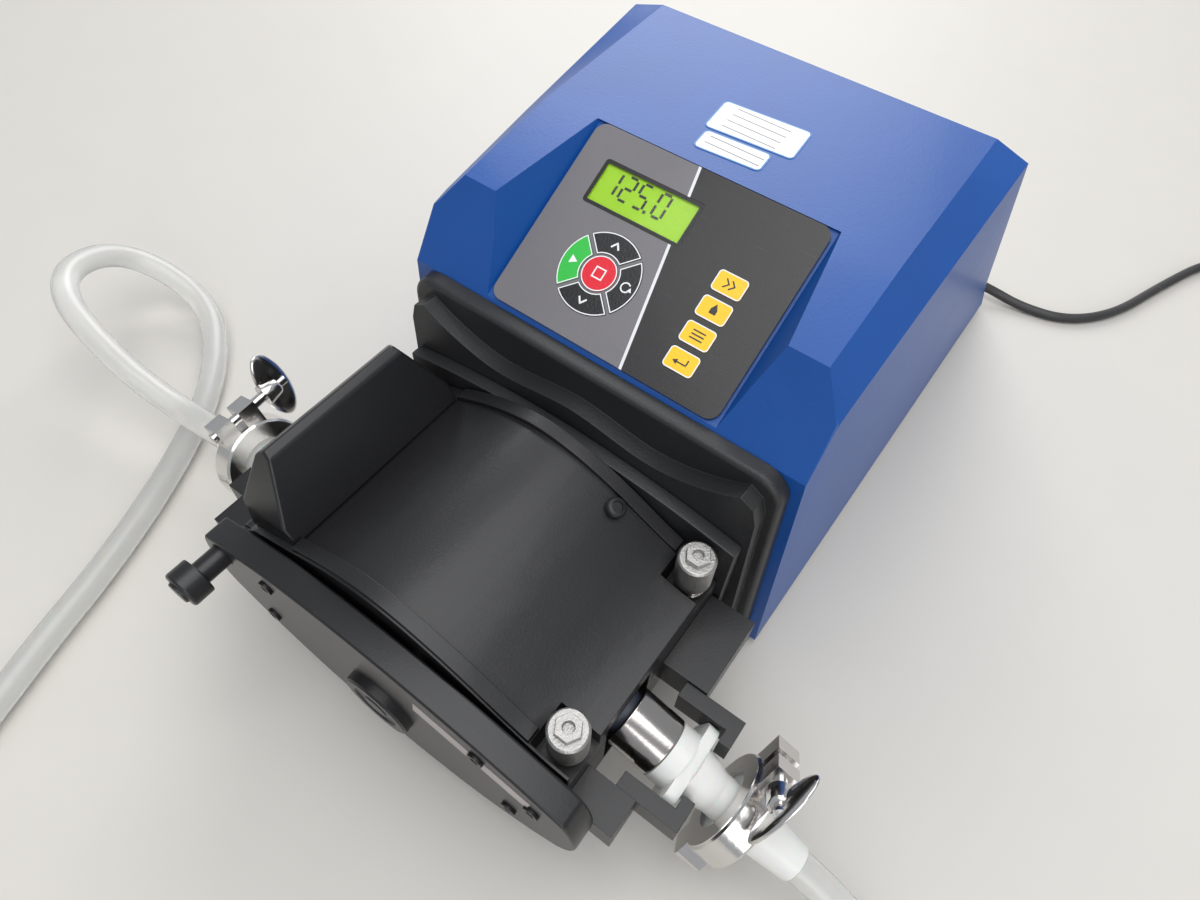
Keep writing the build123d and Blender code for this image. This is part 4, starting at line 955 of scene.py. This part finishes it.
# ------------------------------------------------------------------ hoses and mains lead
@dataclass
class Cords:
    """Two hoses and the mains lead with its coil and plug."""

    hose_radius: float = 8.0 * MM
    lead_radius: float = 3.5 * MM
    hose_x: float = 191.5 * MM
    hose_z: float = 43.73 * MM
    fall: float = math.tan(PORT_SLOPE)
    pitch: float = 7.3 * MM
    turns: float = 2.5
    coil_start: float = 51.6 * MM

    def curve(self, name: str, points: Sequence[Sequence[float]], radius: float) -> Piece:
        """A smooth round cord through its route.

        Args:
            name: the piece's name.
            points: the route's points in metres.
            radius: the cord's radius.

        Returns:
            The curve object.
        """
        data = bpy.data.curves.new(name, "CURVE")
        data.dimensions = "3D"
        data.bevel_depth = radius
        data.bevel_resolution = 6
        data.resolution_u = 14
        data.use_fill_caps = True
        spline = data.splines.new("NURBS")
        spline.points.add(len(points) - 1)
        for point, place in zip(spline.points, points):
            point.co = (*place, 1.0)
        spline.order_u = 3
        spline.use_endpoint_u = True
        piece = bpy.data.objects.new(name, data)
        bpy.context.scene.collection.objects.link(piece)
        return piece

    def in_metres(self, points: Sequence[Sequence[float]]) -> list[Vector]:
        """Route points in metres, with depth counted from the case's front plane."""
        return [Vector((x * MM, FRONT + y * MM, z * MM)) for x, y, z in points]

    def build_left(self) -> None:
        """Left hose: out, round in a loop, under itself and away over the table."""
        start = Vector((-self.hose_x, PORT_Y, self.hose_z))
        level = self.hose_radius / MM + 0.3
        route = [start, start + Vector((-36 * MM, 0, -36 * MM * self.fall))]
        route += self.in_metres(((-288, -106, 50), (-356, -96, 74), (-384, -38, 46), (-326, -18, 14),
                                 (-270, -60, level), (-232, -124, level), (-206, -190, level),
                                 (-190, -250, level), (-172, -304, level)))
        hose = self.curve("hose_left_tube", route, self.hose_radius)
        end = dress("hose_end_left", ROOT, "hose_plug", Paint.MILKY, 0.6 * MM)
        publish(hose, ROOT, "clear_hose", Paint.HOSE, nodes=("hose_left",))

    def build_right(self) -> None:
        """Right hose: out and down to the table, then forward."""
        start = Vector((self.hose_x, PORT_Y, self.hose_z))
        level = self.hose_radius / MM + 0.3
        route = [start, start + Vector((32 * MM, 0, -32 * MM * self.fall))]
        route += self.in_metres(((262, -112, 16), (300, -142, level), (316, -190, level)))
        hose = self.curve("hose_right_tube", route, self.hose_radius)
        end = dress("hose_end_right", ROOT, "hose_plug", Paint.MILKY, 0.6 * MM)
        publish(hose, ROOT, "clear_hose", Paint.HOSE, nodes=("hose_right",))

    def build_lead(self) -> None:
        """Mains lead from the rear wall to its coil and plug."""
        level = self.lead_radius / MM + 0.2
        route = self.in_metres(((106, 353, 16), (124, 361, 9), (150, 364, level), (184, 372, level),
                                (212, 404, level), (232, 458, level), (256, 514, level),
                                (292, 548, level)))
        entry = route[-1]
        run = (entry - route[-2]).normalized()
        side = Vector((run.y, -run.x, 0))
        centre = entry + side * self.coil_start + run * 12 * MM
        step = 24
        floor_z = level * MM
        above = 7.4 * MM
        last = round((2 * self.turns + 0.25) * step)
        for index in range(1, last + 1):
            turn = index / step
            if turn <= self.turns:
                radius, height = self.coil_start - self.pitch * turn, 0.0
            elif turn <= self.turns + 0.25:
                radius = self.coil_start - self.pitch * self.turns
                height = above * (turn - self.turns) / 0.25
            else:
                radius = self.coil_start - self.pitch * (2 * self.turns + 0.25 - turn)
                height = above
            angle = math.tau * turn
            spot = centre + (run * math.sin(angle) - side * math.cos(angle)) * radius
            route.append(Vector((spot.x, spot.y, floor_z + height)))
        tail = centre + run * self.coil_start
        route.append(Vector((tail.x, tail.y, 11.2 * MM)) + side * 22 * MM)
        root = tail + side * 62 * MM
        route.append(Vector((root.x, root.y, 18.7 * MM)))
        lead = self.curve("mains_lead_sheath", route, self.lead_radius)
        plug = dress("mains_plug", ROOT, "lead_sheath", Paint.SHEATH, 0.8 * MM)
        publish(lead, ROOT, "lead_sheath", Paint.SHEATH, nodes=("mains_lead", "mains_coil"))

    def build(self) -> None:
        """Build all three cords."""
        self.build_left()
        self.build_right()
        self.build_lead()


# ------------------------------------------------------------------ studio
@dataclass
class Studio:
    """Pale table, soft lights and the camera."""

    eye: Vector = field(default_factory=lambda: Vector((143.547 * MM, FRONT - 209.396 * MM,
                                                        451.666 * MM)))
    azimuth: float = math.radians(33.148)
    dip: float = math.radians(54.964)
    roll: float = math.radians(3.843)
    lens: float = 24.71
    sensor: float = 36.0

    def camera(self) -> None:
        """Camera over the pump's front right corner."""
        forward = Vector((-math.sin(self.azimuth) * math.cos(self.dip),
                          math.cos(self.azimuth) * math.cos(self.dip), -math.sin(self.dip)))
        level = forward.cross(Vector((0, 0, 1))).normalized()
        upright = level.cross(forward)
        right = level * math.cos(self.roll) + upright * math.sin(self.roll)
        up = upright * math.cos(self.roll) - level * math.sin(self.roll)
        data = bpy.data.cameras.new("camera")
        data.lens = self.lens
        data.sensor_width = self.sensor
        data.clip_start = 0.01
        camera = bpy.data.objects.new("camera", data)
        bpy.context.scene.collection.objects.link(camera)
        turn = Matrix((right, up, -forward)).transposed().to_4x4()
        camera.matrix_world = Matrix.Translation(self.eye) @ turn
        bpy.context.scene.camera = camera

    def lamp(self, name: str, place: Sequence[float], target: Sequence[float], size: float,
             power: float) -> None:
        """One soft square lamp aimed at a target."""
        data = bpy.data.lights.new(name, "AREA")
        data.size = size
        data.energy = power
        lamp = bpy.data.objects.new(name, data)
        bpy.context.scene.collection.objects.link(lamp)
        aim = Vector(target) - Vector(place)
        lamp.matrix_world = Matrix.Translation(place) @ aim.to_track_quat("-Z", "Y").to_matrix().to_4x4()

    def build(self) -> None:
        """Build the table, the lamps and the camera."""
        deselect()
        bpy.ops.mesh.primitive_plane_add(size=8.0)
        table = bpy.context.object
        table.name = "table_top"
        Paint.coat(table, Paint.FLOOR)
        self.lamp("window", (-0.9, 1.5, 1.3), (0, 0, 0.1), 1.4, 26)
        self.lamp("ceiling", (0.3, -0.2, 2.0), (0, 0, 0), 1.8, 26)
        self.lamp("fill", (1.3, -1.4, 0.9), (0, 0, 0.1), 1.0, 9)
        world = bpy.data.worlds.new("studio")
        world.use_nodes = True
        sky = world.node_tree.nodes["Background"]
        sky.inputs["Color"].default_value = (0.9, 0.94, 1.0, 1)
        sky.inputs["Strength"].default_value = 0.45
        bpy.context.scene.world = world
        bpy.context.scene.view_settings.view_transform = "Standard"
        self.camera()


def main() -> None:
    """Build the pump and its studio in order."""
    logging.basicConfig(level=logging.INFO, format="%(message)s")
    for assembly in (DriveCase(), Keypad(), Pumphead(), TubeLine(), Cords(), Studio()):
        assembly.build()


if __name__ == "__main__":
    main()
